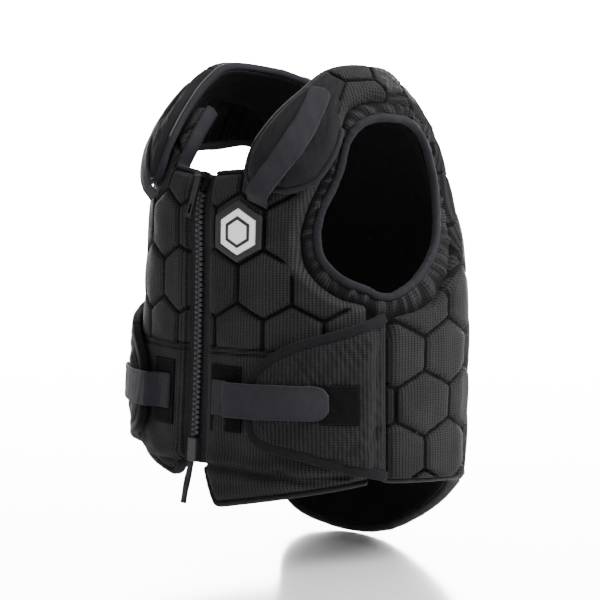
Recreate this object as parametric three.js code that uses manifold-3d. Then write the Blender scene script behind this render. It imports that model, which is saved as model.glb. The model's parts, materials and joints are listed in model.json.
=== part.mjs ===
// Equestrian body protector, child's size: foam panels in mesh fabric, worn form, millimetres, +Z up.
// The front faces -Y, the wearer's left is +X, and the origin is the seat of the shoulders.
import * as THREE from 'three';
import { mergeVertices } from 'three/addons/utils/BufferGeometryUtils.js';
import Module from 'manifold-3d';

const wasm = await Module();
wasm.setup();

// Driving dimensions
const LENGTH = 440;
const CHEST_HALF_WIDTH = 140;
const CHEST_FRONT = 110;
const CHEST_BACK = 104;
const CORNER_POWER = 2.3;
const FOAM = 18;
const FOAM_TAIL = 13;
const WING_FOAM = 9;
const PAD_FOAM = 13;
const RIM = 7;
const RIM_DROP = 5;
const WING_DROP = 3;
const WING_SEAM_LIFT = 4;
const PAD_DROP = 4;
const LAYER_GAP = 1.7;
const SEAM_GAP = 0.5;
const STRAP_GAP = 0.6;
const WEBBING = 2.2;
const PATCH = 1.6;
const FLAT_DROP = 0.4;
const BINDING = 9;
const ARMHOLE_BINDING = 8;
const PIPING = 5;
const MITRE_LIMIT = 1.4;
const GROOVE_WIDTH = 7;
const GROOVE_DEPTH = 4;
const CROWN = 1;
const GATHER_THICK = 4;
const GATHER_WAVE = 1.6;
const GATHER_COUNT = 17;
const GATHER_SHARES = [0.09, 0.36, 0.62];
const GATHER_LIFTS = [0, 2.4, 0.5];
const GATHER_SWAY = [0.5, 1, 0.5];
const TAPE_THICK = 1.4;
const TOOTH_PITCH = 4.5;
const TOOTH_WIDTH = 9;
const TOOTH_GAP_WIDTH = 6.4;
const CHAIN_THICK = 3.2;
const TOOTH_RELIEF = 0.8;
const SLIDER_LENGTH = 17;
const SLIDER_WIDTH = 12.5;
const SLIDER_THICK = 3;
const BOX_WIDTH = 11.5;
const PIN_RADIUS = 1;
const LUG = 2.4;
const BARREL_WALL = 1.1;
const ROUND_SIDES = 12;
const PULL_LENGTH = 40;
const PULL_WIDTH = 7.5;
const PULL_THICK = 2.2;
const PIN_CLEARANCE = 0.3;
const BADGE_ACROSS = 44;
const BADGE_RIM = 5;
const BADGE_THICK = 2.4;
const BADGE_PLATE = 1.7;
const BADGE_GAP = 0.3;
const HEM_CLEAR = 1;
const TAB_WIDTH = 7;
const TAB_LENGTH = 38;

// Levels of the worn form. Columns: pattern place down the length, depth below the seat, half width,
// front depth and back depth, each as a share of LENGTH, LENGTH, CHEST_HALF_WIDTH, CHEST_FRONT, CHEST_BACK.
const LEVELS = [
  [-0.136, 0.000, 0.414, 0.273, 0.327],
  [-0.068, 0.030, 0.586, 0.418, 0.462],
  [0.000, 0.068, 0.721, 0.582, 0.587],
  [0.073, 0.114, 0.814, 0.755, 0.702],
  [0.148, 0.168, 0.871, 0.900, 0.769],
  [0.239, 0.239, 0.914, 0.991, 0.856],
  [0.341, 0.341, 0.971, 1.000, 0.962],
  [0.455, 0.455, 1.000, 1.009, 1.000],
  [0.591, 0.591, 1.000, 1.027, 0.990],
  [0.727, 0.727, 1.000, 1.055, 0.971],
  [0.845, 0.845, 1.000, 1.082, 0.875],
  [0.932, 0.930, 0.986, 1.100, 0.670],
  [1.000, 0.995, 0.957, 1.109, 0.490],
];

// Armhole, one loop from the side seam up the front, over the shoulder and down the back.
// Columns: panel edge round the form and down the length, opening's edge round and down, all shares,
// and the height of the gathered band as a share of FOAM.
const ARMHOLE = [
  [0.385, 0.432, 0.390, 0.391, 0.40],
  [0.335, 0.414, 0.350, 0.375, 0.40],
  [0.290, 0.384, 0.315, 0.348, 0.38],
  [0.258, 0.341, 0.297, 0.318, 0.36],
  [0.252, 0.295, 0.292, 0.284, 0.36],
  [0.265, 0.245, 0.303, 0.236, 0.36],
  [0.292, 0.186, 0.325, 0.195, 0.38],
  [0.318, 0.132, 0.345, 0.141, 0.50],
  [0.335, 0.080, 0.362, 0.093, 0.78],
  [0.385, 0.018, 0.415, 0.050, 1.15],
  [0.450, -0.005, 0.460, 0.039, 1.15],
  [0.530, -0.005, 0.520, 0.039, 0.95],
  [0.605, 0.030, 0.580, 0.070, 0.70],
  [0.648, 0.095, 0.612, 0.128, 0.50],
  [0.662, 0.170, 0.620, 0.193, 0.42],
  [0.665, 0.245, 0.597, 0.252, 0.40],
  [0.655, 0.318, 0.562, 0.298, 0.40],
  [0.600, 0.386, 0.522, 0.341, 0.40],
  [0.517, 0.439, 0.482, 0.377, 0.40],
  [0.440, 0.455, 0.438, 0.400, 0.40],
  [0.410, 0.449, 0.412, 0.400, 0.40],
];

// Over the wearer's right shoulder the opening's edge droops lower, by these shares of LENGTH in the
// armhole's rows from this one on.
const RIGHT_DROOP = { row: 8, downs: [0.06, 0.14, 0.15, 0.14, 0.07] };

// Front panel, rows from the hem up. Columns: centre edge round and down, then arm edge round and down.
const FRONT_ROWS = [
  [0.068, 0.828, 0.385, 0.770],
  [0.046, 0.785, 0.385, 0.757],
  [0.036, 0.750, 0.385, 0.730],
  [0.034, 0.682, 0.385, 0.660],
  [0.034, 0.625, 0.385, 0.600],
  [0.034, 0.568, 0.385, 0.540],
  [0.034, 0.510, 0.385, 0.485],
  [0.034, 0.455, ...ARMHOLE[0].slice(0, 2)],
  [0.034, 0.420, ...ARMHOLE[1].slice(0, 2)],
  [0.034, 0.382, ...ARMHOLE[2].slice(0, 2)],
  [0.034, 0.341, ...ARMHOLE[3].slice(0, 2)],
  [0.034, 0.295, ...ARMHOLE[4].slice(0, 2)],
  [0.034, 0.240, ...ARMHOLE[5].slice(0, 2)],
  [0.034, 0.176, ...ARMHOLE[6].slice(0, 2)],
  [0.130, 0.160, 0.305, 0.159],
  [0.140, 0.114, ...ARMHOLE[7].slice(0, 2)],
  [0.175, 0.057, ...ARMHOLE[8].slice(0, 2)],
  [0.235, -0.002, 0.362, 0.045],
];

// Back panel, rows from the tail up. Columns: edge's distance from the back centre, its place down,
// and the place down at the centre, as shares.
const BACK_ROWS = [
  [0.086, 0.925, 0.928],
  [0.162, 0.914, 0.911],
  [0.217, 0.892, 0.886],
  [0.257, 0.857, 0.850],
  [0.288, 0.820, 0.818],
  [0.330, 0.787, 0.780],
  [0.430, 0.777, 0.745],
  [0.520, 0.772, 0.720],
  [0.583, 0.766, 0.695],
  [0.583, 0.682, 0.640],
  [0.583, 0.591, 0.580],
  [0.583, 0.510, 0.515],
  [1 - ARMHOLE[19][0], ARMHOLE[19][1], 0.462],
  [1 - ARMHOLE[18][0], ARMHOLE[18][1], 0.420],
  [1 - ARMHOLE[17][0], ARMHOLE[17][1], 0.370],
  [1 - ARMHOLE[16][0], ARMHOLE[16][1], 0.312],
  [1 - ARMHOLE[15][0], ARMHOLE[15][1], 0.245],
  [1 - ARMHOLE[14][0], ARMHOLE[14][1], 0.175],
  [1 - ARMHOLE[13][0], ARMHOLE[13][1], 0.105],
  [0.284, 0.009, 0.030],
  [0.215, -0.077, -0.040],
];
// The foam thins and the tail drifts to the wearer's right between these two places down the back.
const TAIL_START = 0.76;
const TAIL_THIN = 0.90;
const TAIL_DRIFT = 0.09;
const SIDE_ROW = 8;

// The wearer's right hem is drawn up beside the zip, over its lowest rows.
const RIGHT_HEM_RISE = 0.05;
const RISING_ROWS = 3;

// Side wing, rows from the hinge seam to the rounded tip. Columns: round, top edge down, bottom edge down,
// and the share of its full lift over the front panel.
const WING_ROWS = [
  [0.416, 0.455, 0.755, 0.55],
  [0.390, 0.466, 0.748, 0.85],
  [0.355, 0.478, 0.740, 1.00],
  [0.319, 0.490, 0.729, 1.00],
  [0.270, 0.505, 0.713, 1.00],
  [0.225, 0.527, 0.703, 1.00],
  [0.200, 0.545, 0.697, 1.00],
  [0.185, 0.560, 0.689, 1.00],
  [0.175, 0.580, 0.676, 1.00],
  [0.170, 0.608, 0.654, 1.00],
];

// Gap between the shoulder pad and the back panel, a share of the half girth, the pad's thickness under
// the strap, a share of PAD_FOAM, and the pad's sewn folds as shares of its length.
const PAD_SEAM = 0.003;
const STRAPPED_PAD = 1.10;
const PAD_FOLDS = [0.48, 0.64, 0.80];

// Shoulder pad, rows from the chest end over the shoulder to the back seam. Columns: neck edge round and
// down, arm edge round and down, lift (share of the front layers) and thickness (share of PAD_FOAM).
const PAD_ROWS = [
  [0.153, 0.196, 0.232, 0.208, 1.00, 0.50],
  [0.147, 0.168, 0.278, 0.192, 1.00, 0.75],
  [0.155, 0.128, 0.312, 0.150, 1.00, 0.95],
  [0.185, 0.075, 0.338, 0.105, 1.00, 1.00],
  [0.230, 0.025, 0.352, 0.070, 1.00, 1.05],
  [0.285, -0.020, 0.370, 0.035, 1.00, 1.10],
  [0.360, -0.073, ...ARMHOLE[9].slice(0, 2), 1.00, 1.15],
  [0.470, -0.100, ...ARMHOLE[10].slice(0, 2), 0.80, 1.15],
  [0.600, -0.105, ...ARMHOLE[11].slice(0, 2), 0.45, 1.20],
  [0.695, -0.096, ...ARMHOLE[12].slice(0, 2), 0.18, 1.25],
  [1 - BACK_ROWS[20][0] - PAD_SEAM, BACK_ROWS[20][1], 1 - BACK_ROWS[18][0] - PAD_SEAM, BACK_ROWS[18][1], 0, 1.35],
];

// Straps. Columns: first edge round and down, second edge round and down, height above the fabric as a
// share of the layer that the strap climbs.
const SHOULDER_STRAP_ROWS = [
  [0.148, 0.228, 0.190, 0.244, 0.00],
  [0.149, 0.222, 0.192, 0.238, 0.16],
  [0.152, 0.214, 0.196, 0.229, 0.44],
  [0.168, 0.192, 0.213, 0.208, 0.68],
  [0.192, 0.162, 0.237, 0.178, 0.83],
  [0.220, 0.125, 0.266, 0.141, 0.92],
  [0.248, 0.084, 0.296, 0.099, 0.96],
  [0.273, 0.046, 0.319, 0.060, 0.98],
  [0.292, 0.014, 0.338, 0.027, 1.00],
  [0.303, -0.006, 0.348, 0.004, 1.00],
  [0.314, -0.015, 0.340, -0.010, 1.00],
];
const WAIST_STRAP_ROWS = [
  [0.068, 0.580, 0.650, 0.00],
  [0.100, 0.580, 0.650, 0.05],
  [0.110, 0.580, 0.650, 0.45],
  [0.120, 0.580, 0.650, 1.00],
  [0.180, 0.580, 0.650, 1.00],
  [0.215, 0.579, 0.649, 1.00],
  [0.250, 0.579, 0.648, 1.00],
  [0.280, 0.578, 0.648, 1.00],
  [0.300, 0.582, 0.643, 1.00],
  [0.311, 0.596, 0.628, 1.00],
];
const FRONT_PATCH = { round: [0.060, 0.138], down: [0.550, 0.682] };
const WING_PATCH = { round: [0.295, 0.362], down: [0.575, 0.656] };
const ZIP = { top: 0.172, foot: 0.752, box: 0.702, tapeEdge: 0.0325, tapeInner: 0.003 };
const BADGE = { round: 0.126, down: 0.287 };

// Hexagon lattices of the foam blocks: half pitch round and row pitch down (shares), one cell's centre,
// and the upright edge as a share of the row pitch.
const FRONT_HEXES = { half: 0.0605, row: 0.1057, round: 0.121, down: 0.282, upright: 0.70 };
const BACK_HEXES = { half: 0.070, row: 0.0989, round: 1.0, down: 0.524, upright: 0.665 };
// A straight seam crosses each front panel under its lowest hexagons.
const FRONT_SEAM = { down: 0.516, round: [0.037, 0.30], pieces: 4 };

// Share of a row that a padded panel's rounded end takes.
const RIM_ROW = 0.4;

function lookUp(table, key, column) {
  const last = table.length - 1;
  const x = Math.min(Math.max(key, table[0][0]), table[last][0]);
  let i = 0;
  while (i < last - 1 && x > table[i + 1][0]) i += 1;
  const slope = (k) => {
    const a = Math.max(k - 1, 0);
    const b = Math.min(k + 1, last);
    return (table[b][column] - table[a][column]) / (table[b][0] - table[a][0]);
  };
  const h = table[i + 1][0] - table[i][0];
  const t = (x - table[i][0]) / h;
  const y0 = table[i][column];
  const y1 = table[i + 1][column];
  const curve = (2 * t ** 3 - 3 * t ** 2 + 1) * y0 + (3 * t ** 2 - 2 * t ** 3) * y1;
  return curve + (t ** 3 - 2 * t ** 2 + t) * h * slope(i) + (t ** 3 - t ** 2) * h * slope(i + 1);
}

function sectionRadius(angle, halfWidth, front, back) {
  const depth = Math.cos(angle) >= 0 ? front : back;
  const sum = Math.abs(Math.sin(angle) / halfWidth) ** CORNER_POWER
    + Math.abs(Math.cos(angle) / depth) ** CORNER_POWER;
  return sum ** (-1 / CORNER_POWER);
}

// Arc length round the chest section, so that the place round the form is a share of its half girth.
const ARC_STEPS = 720;
const arc = [[0, 0]];
for (let i = 1; i <= ARC_STEPS; i += 1) {
  const spot = (k) => {
    const angle = Math.PI * k / ARC_STEPS;
    const r = sectionRadius(angle, CHEST_HALF_WIDTH, CHEST_FRONT, CHEST_BACK);
    return new THREE.Vector2(r * Math.sin(angle), r * Math.cos(angle));
  };
  arc.push([arc[i - 1][0] + spot(i).distanceTo(spot(i - 1)), Math.PI * i / ARC_STEPS]);
}
const HALF_GIRTH = arc[ARC_STEPS][0];

function angleOf(place) {
  const round = place - 2 * Math.round(place / 2);
  const target = Math.abs(round) * HALF_GIRTH;
  let low = 0;
  let high = ARC_STEPS;
  while (high - low > 1) {
    const middle = (low + high) >> 1;
    if (arc[middle][0] < target) low = middle;
    else high = middle;
  }
  const t = (target - arc[low][0]) / (arc[high][0] - arc[low][0]);
  return Math.sign(round) * (arc[low][1] + t * (arc[high][1] - arc[low][1]));
}

function skin(round, down) {
  const angle = angleOf(round);
  const halfWidth = CHEST_HALF_WIDTH * lookUp(LEVELS, down, 2);
  const front = CHEST_FRONT * lookUp(LEVELS, down, 3);
  const back = CHEST_BACK * lookUp(LEVELS, down, 4);
  const r = sectionRadius(angle, halfWidth, front, back);
  return new THREE.Vector3(r * Math.sin(angle), -r * Math.cos(angle), -LENGTH * lookUp(LEVELS, down, 1));
}

const STEP = 0.002;
function frameAt(round, down) {
  const across = skin(round + STEP, down).sub(skin(round - STEP, down)).normalize();
  const up = skin(round, down - STEP).sub(skin(round, down + STEP)).normalize();
  const out = new THREE.Vector3().crossVectors(across, up).normalize();
  up.crossVectors(out, across);
  return { across, up, out };
}

function place(round, down, lift) {
  return skin(round, down).addScaledVector(frameAt(round, down).out, lift);
}

function closedGeometry(points, faces) {
  let volume = 0;
  for (const [a, b, c] of faces) volume += points[a].dot(points[b].clone().cross(points[c])) / 6;
  const index = faces.flatMap(([a, b, c]) => (volume > 0 ? [a, b, c] : [a, c, b]));
  const geometry = new THREE.BufferGeometry();
  geometry.setAttribute('position', new THREE.Float32BufferAttribute(points.flatMap((p) => [p.x, p.y, p.z]), 3));
  geometry.setIndex(index);
  return geometry;
}

// A padded shell: a grid of places u (rows) by t (columns), each with an inner and an outer lift.
function shell({ at, us, ts, inner, outer, drop = RIM_DROP, lip = 0 }) {
  const points = [];
  const faces = [];
  const border = (i, j) => i === 0 || j === 0 || i === us.length - 1 || j === ts.length - 1;
  for (const side of [0, 1]) {
    us.forEach((u, i) => ts.forEach((t, j) => {
      const [round, down] = at(u, t);
      const edge = border(i, j);
      const lift = side ? outer(u, t, round, down) - (edge ? drop : 0) : inner(u, t, round, down) + (edge ? lip : 0);
      points.push(place(round, down, lift));
    }));
  }
  const id = (side, i, j) => (side * us.length + i) * ts.length + j;
  const quad = (a, b, c, d) => faces.push([a, b, c], [a, c, d]);
  for (let i = 0; i < us.length - 1; i += 1) {
    for (let j = 0; j < ts.length - 1; j += 1) {
      quad(id(1, i, j), id(1, i, j + 1), id(1, i + 1, j + 1), id(1, i + 1, j));
      quad(id(0, i, j), id(0, i + 1, j), id(0, i + 1, j + 1), id(0, i, j + 1));
    }
  }
  const wall = (loop) => loop.forEach(([i, j], k) => {
    const [m, n] = loop[(k + 1) % loop.length];
    quad(id(1, m, n), id(1, i, j), id(0, i, j), id(0, m, n));
  });
  const loop = [];
  for (let j = 0; j < ts.length - 1; j += 1) loop.push([0, j]);
  for (let i = 0; i < us.length - 1; i += 1) loop.push([i, ts.length - 1]);
  for (let j = ts.length - 1; j > 0; j -= 1) loop.push([us.length - 1, j]);
  for (let i = us.length - 1; i > 0; i -= 1) loop.push([i, 0]);
  wall(loop);
  return closedGeometry(points, faces);
}

// A bead along a row of places [round, down, lift]: a four-sided section, narrower on top, that lies
// beside that line.
const BEAD_SECTION = [[-0.5, -0.5], [-0.36, 0.5], [0.36, 0.5], [0.5, -0.5]];
function bead(places, { across, thick, shift = 0, closed = false }) {
  const count = places.length;
  const spots = places.map(([round, down, lift]) => place(round, down, lift));
  const points = [];
  const faces = [];
  spots.forEach((spot, i) => {
    const before = closed ? spots[(i + count - 1) % count] : spots[Math.max(i - 1, 0)];
    const after = closed ? spots[(i + 1) % count] : spots[Math.min(i + 1, count - 1)];
    const out = frameAt(places[i][0], places[i][1]).out;
    const along = after.clone().sub(before).normalize();
    const beside = new THREE.Vector3().crossVectors(along, out).normalize();
    const last = after.clone().sub(spot);
    const turn = last.lengthSq() > 0 ? last.normalize().dot(along) : 1;
    const mitre = Math.min(1 / Math.max(turn, 1 / MITRE_LIMIT), MITRE_LIMIT);
    for (const [b, n] of BEAD_SECTION) {
      points.push(spot.clone().addScaledVector(beside, (shift + b * across) * mitre).addScaledVector(out, n * thick));
    }
  });
  const sides = BEAD_SECTION.length;
  const rings = closed ? count : count - 1;
  for (let i = 0; i < rings; i += 1) {
    for (let k = 0; k < sides; k += 1) {
      const a = i * sides + k;
      const b = i * sides + (k + 1) % sides;
      const c = ((i + 1) % count) * sides + (k + 1) % sides;
      const d = ((i + 1) % count) * sides + k;
      faces.push([a, b, c], [a, c, d]);
    }
  }
  if (!closed) {
    for (let k = 1; k < sides - 1; k += 1) {
      const far = (count - 1) * sides;
      faces.push([0, k + 1, k], [far, far + k, far + k + 1]);
    }
  }
  return closedGeometry(points, faces);
}

const MERGE = 1e-4;
function solidOf(geometry) {
  const bare = geometry.clone();
  bare.deleteAttribute('normal');
  bare.deleteAttribute('uv');
  const merged = mergeVertices(bare, MERGE);
  return new wasm.Manifold(new wasm.Mesh({
    numProp: 3,
    vertProperties: new Float32Array(merged.attributes.position.array),
    triVerts: new Uint32Array(merged.index.array),
  }));
}

function geometryOf(solid) {
  const mesh = solid.getMesh();
  const geometry = new THREE.BufferGeometry();
  geometry.setAttribute('position', new THREE.BufferAttribute(new Float32Array(mesh.vertProperties), 3));
  geometry.setIndex(new THREE.BufferAttribute(new Uint32Array(mesh.triVerts), 1));
  return geometry;
}

// A slab of hexagon blocks: each cell has a crowned top, sides that slope into the grooves, and a flat
// bottom. The groove is as deep as grooveAt says at each corner of a cell.
function quilt({ half, row, round, down, upright }, { columns, rows, lift, grooveAt }) {
  const points = [];
  const faces = [];
  const corners = new Map();
  const rise = row * (1 - upright);
  const bottom = -GROOVE_WIDTH;
  const inset = GROOVE_WIDTH / 2 / (Math.abs(half) * HALF_GIRTH);
  const put = (x, y, w) => points.push(place(x, y, w)) - 1;
  const corner = (x, y) => {
    const key = `${x.toFixed(4)} ${y.toFixed(4)}`;
    if (!corners.has(key)) corners.set(key, [put(x, y, lift(x, y) - grooveAt(x, y)), put(x, y, bottom)]);
    return corners.get(key);
  };
  for (let r = rows[0]; r <= rows[1]; r += 1) {
    for (let c = columns[0]; c <= columns[1]; c += 1) {
      if (Math.abs(r + c) % 2 === 1) continue;
      const x = round + c * half;
      const y = down + r * row;
      const side = row * upright / 2;
      const ring = [
        [x + half, y - side], [x, y - side - rise], [x - half, y - side],
        [x - half, y + side], [x, y + side + rise], [x + half, y + side],
      ];
      const crown = grooveAt(x, y) > 0 ? CROWN : 0;
      const centre = put(x, y, lift(x, y) + crown);
      const base = put(x, y, bottom);
      const tops = ring.map(([a, b]) => {
        const spot = [between(a, x, inset), between(b, y, inset)];
        return put(...spot, lift(...spot));
      });
      const ends = ring.map(([a, b]) => corner(a, b));
      for (let k = 0; k < ring.length; k += 1) {
        const n = (k + 1) % ring.length;
        faces.push([centre, tops[k], tops[n]]);
        faces.push([tops[k], ends[k][0], ends[n][0]], [tops[k], ends[n][0], tops[n]]);
        faces.push([base, ends[n][1], ends[k][1]]);
      }
    }
  }
  const twin = new Map([...corners.values()]);
  const edges = new Set(faces.flatMap(([a, b, c]) => [`${a} ${b}`, `${b} ${c}`, `${c} ${a}`]));
  for (const edge of edges) {
    const [a, b] = edge.split(' ').map(Number);
    if (twin.has(a) && twin.has(b) && !edges.has(`${b} ${a}`)) {
      faces.push([b, a, twin.get(a)], [b, twin.get(a), twin.get(b)]);
    }
  }
  return closedGeometry(points, faces);
}

// A straight V groove through each pair of places [round, down, lift], cut into a padded shell.
function cutSeams(solid, seams) {
  let cut = solid;
  for (const [a, b] of seams) {
    const from = place(...a);
    const to = place(...b);
    const out = frameAt(between(a[0], b[0], 0.5), between(a[1], b[1], 0.5)).out;
    const along = to.clone().sub(from).normalize();
    const beside = new THREE.Vector3().crossVectors(out, along).normalize();
    const square = new THREE.Vector3().crossVectors(along, beside);
    const bar = new THREE.CylinderGeometry(GROOVE_DEPTH, GROOVE_DEPTH, from.distanceTo(to) + SEAM_GAP, 4, 1);
    const basis = new THREE.Matrix4().makeBasis(square, along, beside);
    bar.applyMatrix4(basis.setPosition(from.clone().add(to).multiplyScalar(0.5)));
    cut = cut.subtract(solidOf(bar));
  }
  return cut;
}

function even(count) {
  return Array.from({ length: count + 1 }, (_, i) => i / count);
}

// Columns with a narrow first and last one, as wide as the rounded rim on a panel of this width.
function rimmed(count, width) {
  const edge = RIM / width;
  return [0, ...even(count).map((x) => between(edge, 1 - edge, x)), 1];
}

// Rows of a table as shares of its length, with a narrow first and last one.
function rimmedRows(rows) {
  return [0, RIM_ROW / rows, ...even(rows).slice(1, -1), 1 - RIM_ROW / rows, 1];
}

function between(a, b, t) {
  return a + (b - a) * t;
}

// A row of a table at a fractional row number.
function rowAt(table, r) {
  const i = Math.min(Math.floor(r), table.length - 2);
  return table[i].map((value, k) => between(value, table[i + 1][k], r - i));
}

const group = new THREE.Group();
const FABRIC = 0x3a3a3e;
const WEBBING_COLOUR = 0x55555f;
const BINDING_COLOUR = 0x3d3d47;
const PATCH_COLOUR = 0x1c1c20;
const PLASTIC = 0x17171a;
const BADGE_WHITE = 0xe8e8e8;

function add(name, geometry, color, roughness = 0.9, metalness = 0) {
  const mesh = new THREE.Mesh(geometry, new THREE.MeshStandardMaterial({ color, roughness, metalness }));
  mesh.name = name;
  group.add(mesh);
  return mesh;
}

const SIDES = [['left', 1], ['right', -1]];
const overFoam = FOAM + CROWN + LAYER_GAP;
const wingOuter = overFoam + WING_FOAM;
const panelWidth = 0.36 * HALF_GIRTH;
const backWidth = 0.76 * HALF_GIRTH;
const wingWidth = 0.27 * LENGTH;
const padWidth = 5 * RIM;

// A place on the front panel. The wearer's right hem is drawn up beside the zip.
function frontPlace(side, r, t) {
  const [a, b, c, d] = rowAt(FRONT_ROWS, r);
  const rise = side < 0 ? RIGHT_HEM_RISE * Math.max(0, 1 - r / RISING_ROWS) : 0;
  return [side * between(a, c, t), between(b, d, t) - rise];
}

function frontPanel(side) {
  const rows = FRONT_ROWS.length - 1;
  const at = (u, t) => frontPlace(side, u * rows, t);
  const outline = solidOf(shell({
    at,
    us: rimmedRows(rows),
    ts: rimmed(9, panelWidth),
    inner: () => 0,
    outer: () => FOAM + RIM_DROP,
    drop: 2 * RIM_DROP,
  }));
  const lattice = { ...FRONT_HEXES, round: side * FRONT_HEXES.round, half: side * FRONT_HEXES.half };
  const blocks = quilt(lattice, {
    columns: [-3, 6],
    rows: [-4, 6],
    lift: () => FOAM,
    grooveAt: (round, down) => (down < FRONT_SEAM.down ? GROOVE_DEPTH : 0),
  });
  const seam = even(FRONT_SEAM.pieces).map((u) => [
    side * between(...FRONT_SEAM.round, u), FRONT_SEAM.down, FOAM + CROWN,
  ]);
  const seams = seam.slice(1).map((end, i) => [seam[i], end]);
  return geometryOf(cutSeams(outline.intersect(solidOf(blocks)), seams));
}

function backThickness(down) {
  return between(FOAM, FOAM_TAIL, THREE.MathUtils.smoothstep(down, TAIL_START, TAIL_THIN));
}

function backPlace(u, t) {
  const [half, edge, centre] = rowAt(BACK_ROWS, u * (BACK_ROWS.length - 1));
  const x = 2 * t - 1;
  const drift = TAIL_DRIFT * THREE.MathUtils.smoothstep(edge, TAIL_START, BACK_ROWS[0][1]);
  return [1 + drift + x * half, between(centre, edge, x * x)];
}

function backPanel() {
  const outline = solidOf(shell({
    at: backPlace,
    us: rimmedRows(BACK_ROWS.length - 1),
    ts: rimmed(12, backWidth),
    inner: () => 0,
    outer: (u, t, round, down) => backThickness(down) + RIM_DROP,
    drop: 2 * RIM_DROP,
  }));
  const blocks = quilt(BACK_HEXES, {
    columns: [-10, 10],
    rows: [-7, 5],
    lift: (round, down) => backThickness(down),
    grooveAt: () => GROOVE_DEPTH,
  });
  return geometryOf(outline.intersect(solidOf(blocks)));
}

function wingLift(share) {
  return between(WING_SEAM_LIFT, overFoam, share);
}

function sideWing(side) {
  const rows = WING_ROWS.length - 1;
  const at = (u, t) => {
    const [round, top, bottom] = rowAt(WING_ROWS, u * rows);
    return [side * round, between(top, bottom, t)];
  };
  const lift = (u) => wingLift(rowAt(WING_ROWS, u * rows)[3]);
  return shell({
    at,
    us: [0, ...rimmedRows(rows).slice(2)],
    ts: rimmed(4, wingWidth),
    inner: lift,
    outer: (u) => lift(u) + WING_FOAM * (2 - rowAt(WING_ROWS, u * rows)[3]),
    drop: WING_DROP,
  });
}

function padPlace(side, u, t) {
  const [a, b, c, d] = rowAt(PAD_ROWS, u * (PAD_ROWS.length - 1));
  return [side * between(a, c, t), between(b, d, t)];
}

function padInnerLift(u) {
  return between(SEAM_GAP, overFoam, rowAt(PAD_ROWS, u * (PAD_ROWS.length - 1))[4]);
}

function padOuterLift(u) {
  return padInnerLift(u) + PAD_FOAM * rowAt(PAD_ROWS, u * (PAD_ROWS.length - 1))[5];
}

function shoulderPad(side) {
  const geometry = shell({
    at: (u, t) => padPlace(side, u, t),
    us: rimmedRows(PAD_ROWS.length - 1),
    ts: rimmed(2, padWidth),
    inner: padInnerLift,
    outer: padOuterLift,
    drop: PAD_DROP,
  });
  const end = (u, t) => [...padPlace(side, u, t), padOuterLift(u) + CROWN];
  const folds = PAD_FOLDS.map((u) => [end(u, 0.05), end(u, 0.95)]);
  return geometryOf(cutSeams(solidOf(geometry), folds));
}

// A strap between two heights. Level straps have one place round the form for both edges.
function strapOf(rows, side, layers, level) {
  const count = rows.length - 1;
  const at = (u, t) => {
    const row = rowAt(rows, u * count);
    return level
      ? [side * row[0], between(row[1], row[2], t)]
      : [side * between(row[0], row[2], t), between(row[1], row[3], t)];
  };
  const lift = (u) => between(layers[0], layers[1], rowAt(rows, u * count).at(-1));
  const outer = (u) => lift(u) + WEBBING;
  return shell({ at, us: even(count), ts: even(2), inner: lift, outer, drop: FLAT_DROP });
}

function patchOf({ round, down }, side, low) {
  return shell({
    at: (u, t) => [side * between(round[0], round[1], t), between(down[0], down[1], u)],
    us: even(2),
    ts: even(3),
    inner: () => low,
    outer: () => low + PATCH,
    drop: FLAT_DROP,
  });
}

function droopedArmhole() {
  return ARMHOLE.map(([round, down, openRound, openDown, height], i) => {
    const droop = RIGHT_DROOP.downs[i - RIGHT_DROOP.row] ?? 0;
    return [round, down, openRound, openDown + droop, height];
  });
}

const ARMHOLE_STEPS = 2;
function armholePlaces(side, share) {
  const rows = side < 0 ? droopedArmhole() : ARMHOLE;
  const count = rows.length;
  const places = [];
  for (let i = 0; i < count; i += 1) {
    const next = (i + 1) % count;
    for (let k = 0; k < ARMHOLE_STEPS; k += 1) {
      const f = k / ARMHOLE_STEPS;
      const row = rows[i].map((value, c) => between(value, rows[next][c], f));
      places.push([side * between(row[0], row[2], share), between(row[1], row[3], share), FOAM * row[4]]);
    }
  }
  return places;
}

// The gathered mesh band: a closed ring of places, waved in and out round the armhole.
function gatherBand(side) {
  const columns = GATHER_SHARES.map((share) => armholePlaces(side, share));
  const count = columns[0].length;
  const points = [];
  const faces = [];
  for (const low of [0, 1]) {
    for (let i = 0; i < count; i += 1) {
      const wave = GATHER_WAVE * Math.sin(2 * Math.PI * GATHER_COUNT * i / count);
      columns.forEach((edge, k) => {
        const [round, down, height] = edge[i];
        const lift = height + GATHER_LIFTS[k] + GATHER_SWAY[k] * wave;
        points.push(place(round, down, lift - low * GATHER_THICK));
      });
    }
  }
  const id = (low, i, k) => (low * count + (i % count)) * columns.length + k;
  const quad = (a, b, c, d) => faces.push([a, b, c], [a, c, d]);
  for (let i = 0; i < count; i += 1) {
    for (let k = 0; k < columns.length - 1; k += 1) {
      quad(id(0, i, k), id(0, i, k + 1), id(0, i + 1, k + 1), id(0, i + 1, k));
      quad(id(1, i, k), id(1, i + 1, k), id(1, i + 1, k + 1), id(1, i, k + 1));
    }
    quad(id(0, i, 0), id(0, i + 1, 0), id(1, i + 1, 0), id(1, i, 0));
    quad(id(0, i + 1, 2), id(0, i, 2), id(1, i, 2), id(1, i + 1, 2));
  }
  return closedGeometry(points, faces);
}

function withLift(places, lift) {
  return places.map(([round, down]) => [round, down, lift]);
}

// Evenly spaced row numbers from one row to another.
function span(from, to, count) {
  return even(count).map((x) => between(from, to, x));
}

const BESIDE = BINDING / 2 + SEAM_GAP;

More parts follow.
